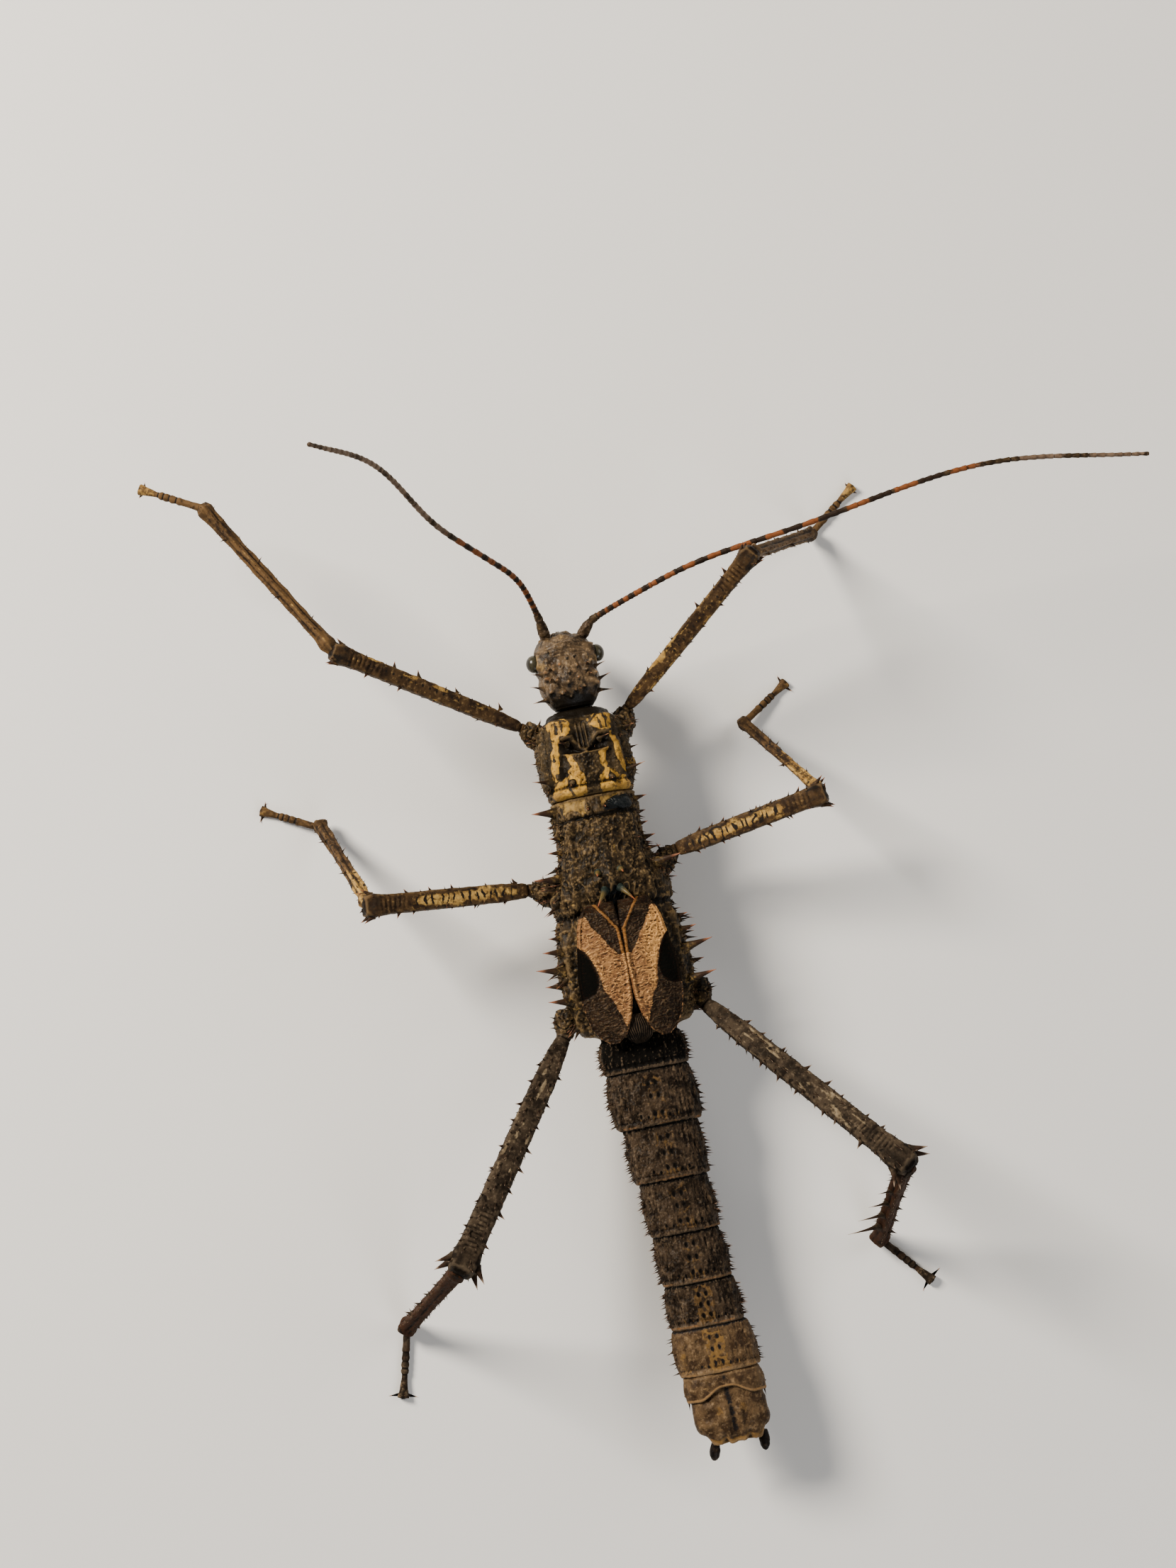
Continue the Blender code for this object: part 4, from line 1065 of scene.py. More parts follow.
THORAX_PALE = (                # two pale patches behind the front plate: (across, back)
    [(-3.5, 0.1), (-2.8, -0.1), (-0.9, 0), (-0.95, 1.75), (-1.7, 1.5), (-2.4, 1.1), (-3.3, 1.6)],
    [(0.45, 0), (2.5, 0), (2.3, 0.5), (1.05, 0.95), (0.95, 1.9), (0.55, 1.6)])


def build_thorax():
    """One skin over the two rear rings of the thorax, with only a shallow fold between them."""
    piece = Piece("thorax_skin")
    rows, last = body_rows("mesothorax"), body_rows("metathorax")
    start = rows[-1][0]
    plate = Plate(THORAX, start + 0.35, last[0][0] - 0.3, columns=340, step=0.1)
    points, back, lift, masks = plate.grid, plate.back, plate.lift, plate.masks
    d = start - plate.y
    fold = start - rows[0][0] + 0.15
    away = np.abs(plate.x)
    wings = back * ease(4.4, 3.9, away) * ease(fold + 0.2, fold + 1.4, d)
    crumpled = points + 0.5 * noise(points, 1.3, 98)[..., None]
    crests = clamp(1 - 2.2 * np.abs(noise(crumpled * [1.3, 0.9, 1.0], 0.8, 96)))
    uneven = 0.35 + 0.9 * ease(-0.5, 0.6, noise(points * [1.2, 0.6, 1.0], 1.5, 88))
    relief = uneven * granules(points, 90, 0.1, 0.11) + 0.13 * crests * (1.3 - 0.6 * uneven)
    relief += 0.08 * rough(points * [1.3, 0.7, 1.0], 0.4, 99, 4)
    lift += relief * (1 - 0.6 * wings) + pleural_folds(plate, 95)
    lanes = noise(points * [1.5, 0.4, 1.0], 1.2, 94)
    lift += back * (0.14 * lanes + 0.16 * bell(away, 0, 0.35) * ease(1.6, 2.6, d) * (1 - wings)
                    + 0.22 * bell(away, 2.7 + 0.12 * d, 0.35) * ease(fold, fold - 1, d))
    hollow = blob(plate.x - 0.1, d - 10.7, 1.2) * back
    lift += back * 0.45 * blob(plate.x, d - 8.6, 0.9) - 0.6 * hollow
    lift -= 0.2 * back * bell(d, 1.95, 0.25) + 0.22 * bell(d + 0.35 * noise(points, 1.5, 93), fold, 0.3)
    lift += 0.3 * back * bell(away, 5.5, 0.35) * ease(fold - 0.5, fold + 1.5, d)
    wobble = 0.22 * rough(points, 0.7, 97)
    pale = patches(plate.x + wobble, d + wobble, THORAX_PALE, -0.15, 0.3) * back
    callus = ease(1.3, 0.8, np.hypot((plate.x - 2.1) / 1.25, (d - 1.05 + 0.25 * (plate.x - 1.95)) / 0.5)
                  + 0.25 * noise(points, 0.7, 87)) * back
    lift *= 1 - 0.7 * pale
    lift *= 1 - 0.85 * callus
    lift += callus * (0.34 + 0.14 * rough(points, 0.6, 86))
    gold = ease(0.0, 0.5, lanes) * ease(0.5, 1.0, away) * back * (1 - wings)
    gold = gold * ease(-0.3, 0.4, noise(points, 0.5, 89))
    masks["pale"] = clamp(pale * (0.68 + 0.35 * noise(points, 0.5, 85)) + 0.46 * gold) * (1 - callus)
    masks["dark"] = clamp(0.95 * callus + 0.42 * ease(0.9, 0.3, away) * back * (1 - pale)
                          + 0.9 * hollow + 0.8 * wings)
    plate.squeeze(1.0, 0.3, front=1.0, rear=1.0)
    lift -= 1.5 * ease(1.6, 0.0, plate.y - plate.y1) ** 2 * ease(3.4, 4.6, away)
    skin = plate.finish()
    # The callus is held near level in the cavity mask: no painted highlight on it and a little painted shade.
    masks["cavity"] = masks["cavity"] * (1 - callus) + 0.4 * callus
    piece.grid(skin, masks)
    piece.build("thorax", "thorax", "mesothorax", "metathorax")
    near = np.argmin(np.hypot(plate.x - 2.3, d - 1.1) + 9 * (1 - back))
    build_callus(skin.reshape(-1, 3)[near])
    thorns = Piece("thorax_thorns")
    roots, tips, _ = solid_thorns("mesothorax")
    central = (np.abs(roots[:, 0] - plate.middle[0, 0]) < 1.6) & (roots[:, 1] < start - 6)
    for low, node, chosen in ((0.0, "mesothorax", ~central), (0.5, "metathorax", slice(None))):
        feet, ends, sizes = (value[chosen] for value in solid_thorns(node))
        thorns.thorns(feet, ends, 1.25 * sizes, {"pale": [0.36] * len(feet)}, flare=0.3,
                      room=(low, 0, low + 0.5, 0.4))
    flank_thorns(thorns, plate, 700, 230)
    thorns.build("thorax", "thorax")
    spines = Piece("back_spines")
    spines.thorns(roots[central], tips[central], 0.48, bow=0.14, flare=0.1)
    spines.build("spine", "horn")


# ---- abdomen
def dotted(x, along, spots, radius):
    """1 on short dashes given as (x, along) in millimetres, mirrored on both sides."""
    mark = 0.0
    for spot_x, spot_y in spots:
        mark = np.maximum(mark, blob(np.abs(x) - spot_x, (along - spot_y) / 1.6, radius))
    return mark


def abdomen_ring(number, ahead, behind, **settings):
    """Piece and plate of an abdomen ring, and the y of its solid's front and rear edges."""
    rows = body_rows("abdomen_%d" % number)
    front, rear = rows[-1][0], rows[0][0]
    plate = Plate(ABDOMEN, front + ahead, rear - behind, **settings)
    return Piece("abdomen_segment_%d" % number), plate, front, rear


def build_tergite(number):
    """Rings 2 to 8: wrinkled back with paired dashes, a toothed keel on each flank, a dark first ring."""
    piece, plate, front, rear = abdomen_ring(number, 0.75, 0.22, columns=300, step=0.07)
    points, back, lift, masks = plate.grid, plate.back, plate.lift, plate.masks
    d, length = front - plate.y, front - rear
    t = d / length
    x = plate.x + 0.06 * rough(points, 0.7, 200 + number)
    wide = np.abs(plate.x)
    middle = ease(1.35, 0.9, wide) * back
    border = ease(1.9, 2.4, wide) * back
    smooth = 0.55 if number == 8 else 1.0              # ring 8 is a smooth tail plate
    flank = 1 - back
    lift += 0.04 * np.sin(np.pi * clamp(t)) + 0.07 * rough(points, 1.1, 210 + number)
    slant = points + 0.5 * np.abs(plate.x)[..., None] * [0.0, 0.5, 0.0]
    wrinkle = rough(slant * [1.9, 0.6, 1.0], 0.5, 220 + number, 4)
    lift += smooth * (0.15 * (1 - 0.5 * middle) + 0.08 * border) * wrinkle
    lift += smooth * 0.16 * flank * rough(points * [0.5, 1.5, 0.7], 0.9, 230 + number)
    lift += smooth * 0.07 * grains(points, 0.3, 240 + number, 0.55)
    lift += smooth * 0.04 * grains(points, 0.19, 245 + number, 0.6)
    ridges = 0.3 * bell(x, 0, 0.1) + bell(np.abs(x), 0.82 + 0.1 * np.sin(6 * t), 0.12)
    ridges = ridges * (0.2 if number == 2 else 1.0)
    lift += 0.07 * smooth * back * ridges * ease(0.05, 0.2, t)
    lift -= 0.12 * smooth * back * along_line(wide, t, [(1.7, 0.25), (2.9, 0.45)], 0.2)
    keel = bell(plate.out[..., 2], 0.18, 0.2)
    lift += 0.12 * keel - 0.12 * bell(plate.out[..., 2], -0.12, 0.14)
    lift += 0.07 * bell(d, length - 0.1, 0.18) - 0.07 * bell(d, length - 0.5, 0.14) * back
    spots = [(0.37, (share + 0.02 * np.sin(9 * number + 30 * share)) * length) for share in (0.24, 0.5, 0.8)]
    ragged = d + 0.12 * np.abs(noise(points, 0.3, 270 + number))
    dots = dotted(x, ragged, spots, 0.19)
    dots = np.maximum(dots, dotted(x, ragged, [(1.1, 0.87 * length), (1.8, 0.84 * length)], 0.12))
    dots = dots * (0.55 + 0.45 * smooth)
    lift -= 0.08 * dots
    net = ease(0.2, 0.6, 1 - np.abs(noise(points * [1.2, 0.9, 1], 0.45, 250 + number)) * 2.6)
    halo = dotted(x, d, spots, 0.42) * (1 - dots)
    velvet = 1.0 if number == 2 else 0.0               # ring 2 is black between the wing cases
    gold = {7: 0.45, 8: 0.5}.get(number, 0.0)          # the rings turn golden towards the tail
    ochre = (middle * (0.06 + 0.34 * net) + (0.1 + 0.05 * number) * halo
             + 0.34 * border * ease(0.1, 0.6, wrinkle)
             + 0.3 * back * ease(0.25, 0.8, noise(points, 1.1, 260)))
    dashes = bell((plate.x / 0.42 + 0.3 * noise(points, 0.8, 265)) % 1.0, 0.5, 0.2)
    hem = 0.75 * back * bell(d, length - 0.62, 0.22) * dashes * ease(2.6, 2.0, wide)
    ochre = ochre * (0.8 + gold) + hem
    blue = back * bell(wide, 1.5, 0.42) * bell(t, 0.45, 0.35)
    masks["pale"] = clamp(ochre * (1 - 0.8 * blue) * (1 - velvet) * (1 - dots))
    edge = bell(d + 0.06 * noise(points, 0.7, 262), length - 0.02, 0.12)
    edge = edge * ease(-0.5, 0.3, noise(points, 1.2, 263))
    masks["rust"] = clamp(0.75 * edge * (1 - 0.6 * velvet))
    masks["dark"] = clamp(1.1 * dots + 0.34 * blue + 0.95 * velvet * back * ease(1.15, 0.75, t)
                          + 0.7 * bell(d, 0.0, 0.2))
    lift -= 0.2 * ease(0.12, -0.2, d)
    lift[0] -= 0.8
    lift[-1] -= 0.8
    lift[-2] -= 0.06
    piece.skin(plate)
    node = "abdomen_%d" % number
    roots, tips, radii = solid_thorns(node)
    piece.thorns(roots, tips, 0.8 * radii)
    many = 24 if number == 8 else 95
    choose = keel * (t > 0.08) * (t < 0.95)
    piece.thorns(*scatter(plate, many, 300 + number, choose, (0.15, 0.62), 0.17), room=(0.5, 0.82, 1, 1))
    piece.build("tail" if number == 8 else "abdomen", "abdomen", node)


def build_ninth():
    """Ring 9: short, with an arched rear edge and a tooth at each rear corner."""
    piece, plate, front, rear = abdomen_ring(9, 0.75, 0.14, step=0.09)
    points, back, lift, masks = plate.grid, plate.back, plate.lift, plate.masks
    d, length = front - plate.y, front - rear
    wide = np.abs(plate.x) / plate.half
    arch = back * (1.05 * ease(0.75, 0.1, wide))
    plate.grid[..., 1] += arch * ease(0.1, 1.0, d / length)
    lift += 0.12 * rough(points, 1.2, 311) + 0.06 * rough(points, 0.45, 313, 4)
    lift += 0.035 * grains(points, 0.24, 314, 0.5)
    lift += 0.10 * bell(plate.out[..., 2], 0.2, 0.2)
    rim = bell(d, length - 0.12, 0.14)
    lift += 0.07 * rim
    masks["rust"] = clamp(0.85 * rim * ease(-0.7, 0.1, noise(points, 1.4, 315)))
    masks["pale"] = 0.3 * back * ease(0.2, 0.8, noise(points, 0.9, 317))
    masks["dark"] = 0.5 * bell(plate.x, 0, 0.35) * back * ease(0.7, 0.2, d / length)
    lift -= 0.2 * ease(0.12, -0.2, d)
    lift[0] -= 0.8
    lift[-1] -= 0.7
    piece.skin(plate)
    corner = np.array([[sign * 3.75, rear + 0.5, 6.9] for sign in SIDES.values()])
    corner = corner + [plate.middle[-1, 0], 0, 0]
    piece.thorns(corner, corner + np.array([[-0.1, -1.3, 0.0], [0.1, -1.3, 0.0]]), 0.42)
    piece.build("tail", "abdomen", "abdomen_9")


def build_tenth():
    """Ring 10: the notched last plate, with two pale blotches."""
    piece, plate, front, rear = abdomen_ring(10, 1.6, 0.02, step=0.09)
    points, back, lift, masks = plate.grid, plate.back, plate.lift, plate.masks
    d, length = front - plate.y, front - rear
    wide = np.abs(plate.x)
    notch = 0.75 * bell(wide, 1.15, 0.36) + 0.9 * ease(1.9, 3.2, wide)
    plate.grid[..., 1] += notch * ease(0.6, 1.0, d / length)
    lift += 0.15 * rough(points, 1.1, 321) + 0.08 * rough(points, 0.5, 323, 4)
    lift += 0.04 * grains(points, 0.24, 324, 0.5)
    lift += back * (0.16 * bell(wide, 0.75, 0.3) - 0.12 * bell(wide, 0, 0.25)) * ease(0.3, 1.0, d)
    lift += 0.12 * bell(d, length - 0.3, 0.3) * back
    blotch = blob(wide - 1.15, (d - 0.9) * 0.8, 0.6)
    hem = 0.9 * ease(length - 1.2, length - 0.4, d) * (1 - 0.6 * bell(wide, 1.15, 0.3))
    masks["pale"] = clamp(back * (0.55 * blotch + hem))
    line = 0.62 * bell(plate.x, 0, 0.4) * ease(length - 0.9, length - 1.6, d)
    masks["dark"] = back * clamp(line + 0.3 * bell(wide, 2.1, 0.5))
    lift -= 0.4 * ease(0.6, -1.0, d)
    lift[0] -= 0.8
    plate.squeeze(1.0, 0.45, rear=1.0)
    piece.skin(plate)
    piece.build("tail", "abdomen", "abdomen_10")


# ---- tubes: limbs and feelers
def smooth_path(points, step, blur):
    """Points a step apart along a softened line, and the distance run at each."""
    points = np.asarray(points, float)
    travel = np.concatenate([[0], np.cumsum(norm(np.diff(points, axis=0), axis=1))])
    at = np.linspace(0, travel[-1], max(6, int(travel[-1] / step)))
    reach = max(1, min(int(2.5 * blur / step), len(at) - 2))
    columns = [blurred(np.interp(at, travel, column), reach, step, blur, mode="reflect", reflect_type="odd")
               for column in points.T]
    return np.stack(columns, axis=1), at


class Tube(Skin):
    """A length of limb or feeler round a line; angle 90 degrees is its upper side."""

    def __init__(self, line, widths, girth=1.0, columns=56, step=GRID, blur=0.5, corner=2.0, up=(0, 0, 1)):
        """widths are (share of the length, share of the girth); corner above 2 squares the section."""
        self.line, run = smooth_path(line, step, blur)
        self.way = units(np.gradient(self.line, axis=0))
        side = units(np.cross(up, self.way))
        angle = 2 * np.pi * np.arange(columns) / columns
        self.length = run[-1]
        self.run = np.broadcast_to(run[:, None], (len(run), columns))
        self.share = self.run / self.length
        self.angle = np.broadcast_to(angle[None], self.run.shape)
        shares, sizes = np.array(widths, float).T
        self.radius = np.interp(self.share, shares, sizes * girth) / 2
        section = (np.abs(np.cos(angle)) ** corner + np.abs(np.sin(angle)) ** corner) ** (-1 / corner)
        ring = ways_out(angle, side, np.cross(self.way, side))
        self.start(self.line[:, None] + ring * (self.radius * section[None])[..., None])

    def around(self, degrees, width):
        """1 along a line at an angle round the tube, fading over a width in degrees."""
        apart = np.abs((np.degrees(self.angle) - degrees + 180) % 360 - 180)
        return bell(apart, 0, width)

    def spot(self, share, degrees):
        """A place on the skin at a share of the length and an angle, and the way out there."""
        row = int(clamp(share) * (len(self.line) - 1))
        column = int(round(degrees / 360 * self.grid.shape[1])) % self.grid.shape[1]
        return self.grid[row, column] + self.out[row, column] * self.lift[row, column], self.out[row, column]


# ---- legs
KEELS = (45.0, 135.0, 225.0, 315.0)
LEG_KINDS = {                  # teeth are (spacing, least, greatest length); foot is (rust, pale)
    "front": {"ridges": 0.7, "painted": 0.93, "thigh_teeth": (2.1, 0.2, 0.5), "knee_spines": 0.35,
              "shin_teeth": (1.2, 0.12, 0.26), "foot": (0.6, 0.44), "claws": 0.8},
    "mid": {"ridges": 0.6, "painted": 0.8, "thigh_teeth": (1.8, 0.2, 0.6), "knee_spines": 0.5,
            "shin_teeth": (1.2, 0.12, 0.4), "foot": (0.5, 0.3), "claws": 1.2},
    "hind": {"ridges": 1.2, "painted": 0.93, "thigh_teeth": (1.5, 0.2, 0.65), "knee_spines": 1.15,
             "shin_teeth": (0.75, 0.12, 0.5), "foot": (0.3, 0.3), "claws": 1.7}}
THIGH_WIDTHS = ((0, 0.5), (0.05, 0.6), (0.1, 0.74), (0.22, 0.9), (0.5, 0.95), (0.84, 0.95), (0.94, 1.12),
                (1, 0.85))
SHIN_WIDTHS = ((0, 0.7), (0.05, 0.95), (0.12, 0.88), (0.5, 0.8), (0.9, 0.9), (0.97, 1), (1, 0.7))
FOOT_JOINTS = (0.42, 0.53, 0.62, 0.70)


def keel_teeth(piece, tube, seed, teeth, radius, room, angles=KEELS, lean=(0.2, 0.8)):
    """Uneven rows of small teeth (spacing, least and greatest length) that lean to a limb's far end."""
    random = np.random.default_rng(seed)
    pitch, shortest, longest = teeth
    roots, tips = [], []
    for keel in angles:
        share = 0.06
        while share < 0.92:
            share += random.uniform(0.45, 1.55) * pitch / tube.length
            place, out = tube.spot(share, keel + random.normal(0, 5))
            way = out + tube.way[min(int(share * len(tube.line)), len(tube.line) - 1)] * random.uniform(*lean)
            roots.append(place)
            tips.append(place + unit(way) * random.uniform(shortest, longest))
    piece.thorns(roots, tips, radius * random.uniform(0.7, 1.3, len(roots)), room=room)


def shape_thigh(tube, seed, kind):
    """Toothed keels, granular sides, folds by the knee and cheeks on both sides of it."""
    points, lift, share, around, run = tube.grid, tube.lift, tube.share, tube.around, tube.run
    for keel in KEELS:
        tooth = 0.5 + 0.5 * np.sin(run * 5.5 + keel + 2.0 * noise(points, 2.0, seed))
        lift += around(keel, 12) * (0.09 + 0.06 * tooth) * ease(0.04, 0.12, share)
    ridged = LEG_KINDS[kind]["ridges"]
    lift += ridged * (0.06 * rough(points, 0.9, seed) + 0.04 * grains(points, 0.3, seed + 3, 0.55))
    lift += ridged * 0.05 * rough(points, 0.42, seed + 4, 3)
    folds = np.sin(run * 13 + 1.2 * noise(points, 1.2, seed + 5))
    folds = 0.05 * folds * around(90, 35)
    lift += folds * ease(0.72, 0.8, share) * ease(0.93, 0.9, share)
    cheek = around(0, 50) + around(180, 50)
    lift += (0.2 * cheek - 0.06) * bell(share, 0.955, 0.03)
    lift -= 0.25 * around(270, 40) * ease(0.9, 1.0, share)
    lift -= 0.5 * tube.radius * ease(0.985, 1.0, share)
    lift -= 0.12 * bell(run, 1.25, 0.12)         # the joint after the short second ring


def drawn_out(tube, size, seed):
    """Noise stretched along a limb."""
    local = [tube.run * 0.28, tube.radius * 1.3 * np.cos(tube.angle), tube.radius * 1.3 * np.sin(tube.angle)]
    return noise(np.stack(local, axis=-1), size, seed)


def paint_thigh(tube, seed, kind):
    """Front: pale streaks and beads; middle: a pale face with dark signs; hind: drawn-out streaks."""
    points, masks, share, around, run = tube.grid, tube.masks, tube.share, tube.around, tube.run
    cloud = noise(points, 1.1, seed + 11)
    face = around(90, 36)
    drawn = drawn_out(tube, 0.42, seed + 12)
    fine = drawn_out(tube, 0.24, seed + 18)
    span = ease(0.06, 0.2, share) * ease(LEG_KINDS[kind]["painted"], 0.7, share)
    signs = np.sin(run * 8.4 + 3.4 * noise(points, 0.7, seed + 13))
    net = 1 - ease(0.05, 0.3, np.abs(noise(points, 0.6, seed + 14)))
    streaks = ease(-0.15, 0.75, 0.6 * drawn + 0.6 * fine)
    upper = around(52 if tube.way[0, 0] > 0 else 128, 26)     # the side turned towards the head
    if kind == "front":
        pale = (0.14 + 0.24 * streaks) * (0.35 + 0.65 * np.maximum(face, upper)) + 0.12 * upper * streaks
    elif kind == "mid":
        pale = face * 0.92 * (0.75 + 0.4 * cloud)
    else:
        pale = (0.1 + 0.75 * streaks ** 1.6) * (0.2 + 0.8 * around(80, 42))
    side = (1 - face) * 0.34 * ease(0.0, 0.7, drawn)
    rungs = bell((run / 0.55 + 0.3 * cloud) % 1.0, 0.5, 0.16) * around(90, 24)
    rungs = rungs * ease(0.78, 0.82, share) * ease(0.92, 0.9, share)
    ridge = sum(around(keel, 7) for keel in KEELS[:2]) * ease(0.1, 0.5, noise(points, 1.2, seed + 16))
    masks["pale"] = clamp(pale * span + side + 0.42 * rungs + 0.28 * ridge * (kind == "front"))
    bars = ease(0.25, 0.75, signs) * face * (kind == "mid")
    beads = bell((run / 0.8 + 0.25 * cloud) % 1.0, 0.5, 0.17) * around(98, 14) * (kind == "front")
    bars = np.maximum(bars, beads * ease(0.3, 0.4, share))
    pits = ease(0.5, 0.75, noise(points, 0.5, seed + 17)) * around(115, 30) * (kind == "hind")
    marks = np.maximum(np.maximum(bars, pits), net * (0.25 + 0.35 * face) * (kind == "mid")) * span
    knee = ease(0.84, 0.94, share + 0.03 * cloud)
    shaded = 0.44 * (1 - face) * ease(0.1, 0.6, -drawn)
    masks["dark"] = clamp(0.85 * marks + 0.42 * knee * (1 - rungs) + shaded)
    masks["pale"] *= 1 - 0.7 * knee * (1 - rungs)
    masks["rust"] += 0.42 * ease(0.3, 0.8, noise(points, 0.9, seed + 19)) * span * (kind == "hind")


def shape_shin(tube, seed, kind):
    """Four keels with grooves between them, drawn-out relief and the colours of each pair."""
    points, lift, masks, share, around = tube.grid, tube.lift, tube.masks, tube.share, tube.around
    for keel in KEELS:
        lift += around(keel, 15) * (0.07 + 0.03 * np.sin(tube.run * 2.5 + keel))
    lift += 0.06 * drawn_out(tube, 0.5, seed) + 0.04 * drawn_out(tube, 0.2, seed + 3)
    lift += 0.10 * bell(share, 0.05, 0.03) + 0.09 * bell(share, 0.97, 0.03)
    groove = sum(around(side, 15) for side in (0, 90, 180, 270))
    groove = groove * ease(0.06, 0.16, share) * ease(0.97, 0.9, share)
    lift -= 0.09 * groove
    keels = sum(around(keel, 13) for keel in KEELS)
    cloud = noise(points, 1.3, seed + 5)
    drawn = drawn_out(tube, 0.34, seed + 6)
    dots = ease(0.45, 0.7, noise(points, 0.42, seed + 7))
    ankle = ease(0.66, 0.9, share + 0.1 * cloud)
    if kind == "front":
        tan = 0.58 - 0.3 * groove + 0.16 * drawn + 0.1 * cloud - 0.16 * ankle
        pale = (0.34 * keels + 0.14 * drawn) * (1 - 0.6 * ankle)
        dark = 0.34 * groove * ease(-0.3, 0.4, drawn)
    elif kind == "mid":
        tan = 0.44 - 0.2 * groove + 0.16 * drawn + 0.12 * cloud - 0.12 * ankle
        pale = 0.1 + 0.2 * keels + 0.14 * drawn + 0.34 * ease(0.5, 0.3, share + 0.15 * cloud)
        pale = pale * (1 - 0.7 * ankle)
        bands = sum(bell(share + 0.03 * drawn, at, 0.025) for at in (0.27, 0.46, 0.63))
        dark = 0.6 * dots + 0.5 * bands
    else:
        tan = 0.9
        pale = 0.1 * ease(0.1, 0.6, drawn)
        dark = 0.3 * dots + 0.3 * ease(0.0, 0.6, -drawn) + 0.2 * ankle
    masks["rust"] = clamp(tan) + np.zeros_like(cloud)
    masks["pale"] = clamp(pale)
    masks["dark"] = clamp(dark + 0.4 * ease(0.08, 0.02, share))


def build_hip(name, coxa, hip, seed, random):
    """The short creased joint at the root of a leg, with small prongs on its upper side."""
    outward = unit(hip - coxa)
    piece = Piece("hip_" + name)
    base = Tube([coxa - 1.6 * outward, coxa - 0.2 * outward, hip + 0.25 * outward],
                [(0, 2.5), (0.45, 2.6), (0.75, 2.15), (1.0, 1.55)], columns=90, step=0.07)
    creases = np.abs(noise(base.grid + 0.4 * noise(base.grid, 0.9, seed + 20)[..., None], 0.7, seed + 19))
    base.lift += 0.12 * rough(base.grid, 0.9, seed + 21) + 0.09 * grains(base.grid, 0.32, seed + 22, 0.55)
    base.lift -= 0.14 * ease(0.3, 0.0, creases)
    base.masks["pale"] = 0.36 * ease(0.1, 0.6, noise(base.grid, 0.9, seed + 23))
    piece.skin(base)
    prongs = [base.spot(random.uniform(0.35, 0.75), random.uniform(10, 170)) for _ in range(14)]
    piece.thorns([place for place, _ in prongs],
                 [place + out * random.uniform(0.25, 0.9) for place, out in prongs], 0.2)
    piece.build("thorax", "leg", "coxa_" + name)


def hind_comb(name, roots, tips, radii, knee, ankle, way):
    """Hind shin spines: a comb on the inner edge, longest by the ankle; the others short."""
    inner = (tips - roots)[:, 0] * SIDES[name.split("_")[1]] < 0
    share = norm(roots - knee, axis=1) / norm(ankle - knee)
    long = 1.4 if name.endswith("right") else 0.1            # the left comb is worn short
    grow = np.where(inner, 0.7 * long + long * share, 0.45)[:, None]
    reach = tips - roots
    along = (reach @ way)[:, None] * way
    bent = np.where(inner[:, None], 1.15 * (reach - along) - 0.9 * along - 0.3 * way, reach)
    return roots, roots + grow * bent, radii * np.where(inner, 1.15, 0.8)


def build_foot(ankle, heel, toe, shin_way, seed, kind):
    """Five joints in a row, the last one split between its claws."""
    line = [ankle - 0.5 * shin_way, heel + 0.35 * (toe - heel) / norm(toe - heel)]
    line += [heel + (toe - heel) * share for share in (0.3, 0.6, 0.9, 1.0)]
    foot = Tube(line, [(0, 0.8), (0.08, 0.78), (0.2, 0.7), (0.66, 0.7), (0.74, 0.55), (0.9, 0.85), (1, 1.15)],
                columns=40, step=0.07, blur=0.35)
    for joint in FOOT_JOINTS:
        swollen = bell(foot.share, joint - 0.03, 0.03)
        foot.lift += 0.04 * swollen - 0.04 * bell(foot.share, joint + 0.008, 0.01)
        foot.lift += 0.12 * foot.around(270, 60) * swollen
        foot.masks["dark"] += 0.8 * bell(foot.share, joint + 0.008, 0.016)
    foot.lift += 0.03 * rough(foot.grid, 0.4, seed + 51) + 0.02 * grains(foot.grid, 0.2, seed + 52, 0.5)
    foot.lift -= 0.14 * (foot.around(90, 25) * ease(0.93, 1.0, foot.share))
    cloud = noise(foot.grid, 0.5, seed + 53)
    rust, pale = LEG_KINDS[kind]["foot"]
    foot.masks["rust"] += rust + 0.2 * cloud
    foot.masks["pale"] += pale * ease(0.66, 0.8, foot.share) + 0.1 * cloud
    foot.masks["dark"] += 0.24 * ease(0.2, 0.6, noise(foot.grid, 0.5, seed + 54))
    foot.masks = {mask: clamp(value) for mask, value in foot.masks.items()}
    return foot


def build_claws(name, toe, way, size):
    """Two claws and the soft pad between them."""
    claws = Piece("claws_" + name)
    roots, tips, _ = solid_thorns("tarsus_" + name)
    spread = tips - roots - 0.35 * way
    roots = roots - 0.15 * way
    claws.thorns(roots, roots + size * spread, 0.28, bow=-0.4, flare=0.15)
    pad = Tube([toe - 0.5 * way, toe + 0.12 * way], [(0, 0.4), (0.6, 0.62), (1, 0.4)], columns=28, step=0.06)
    claws.grid(pad.finish(floor=True), pad.masks)
    claws.build("horn", "horn")


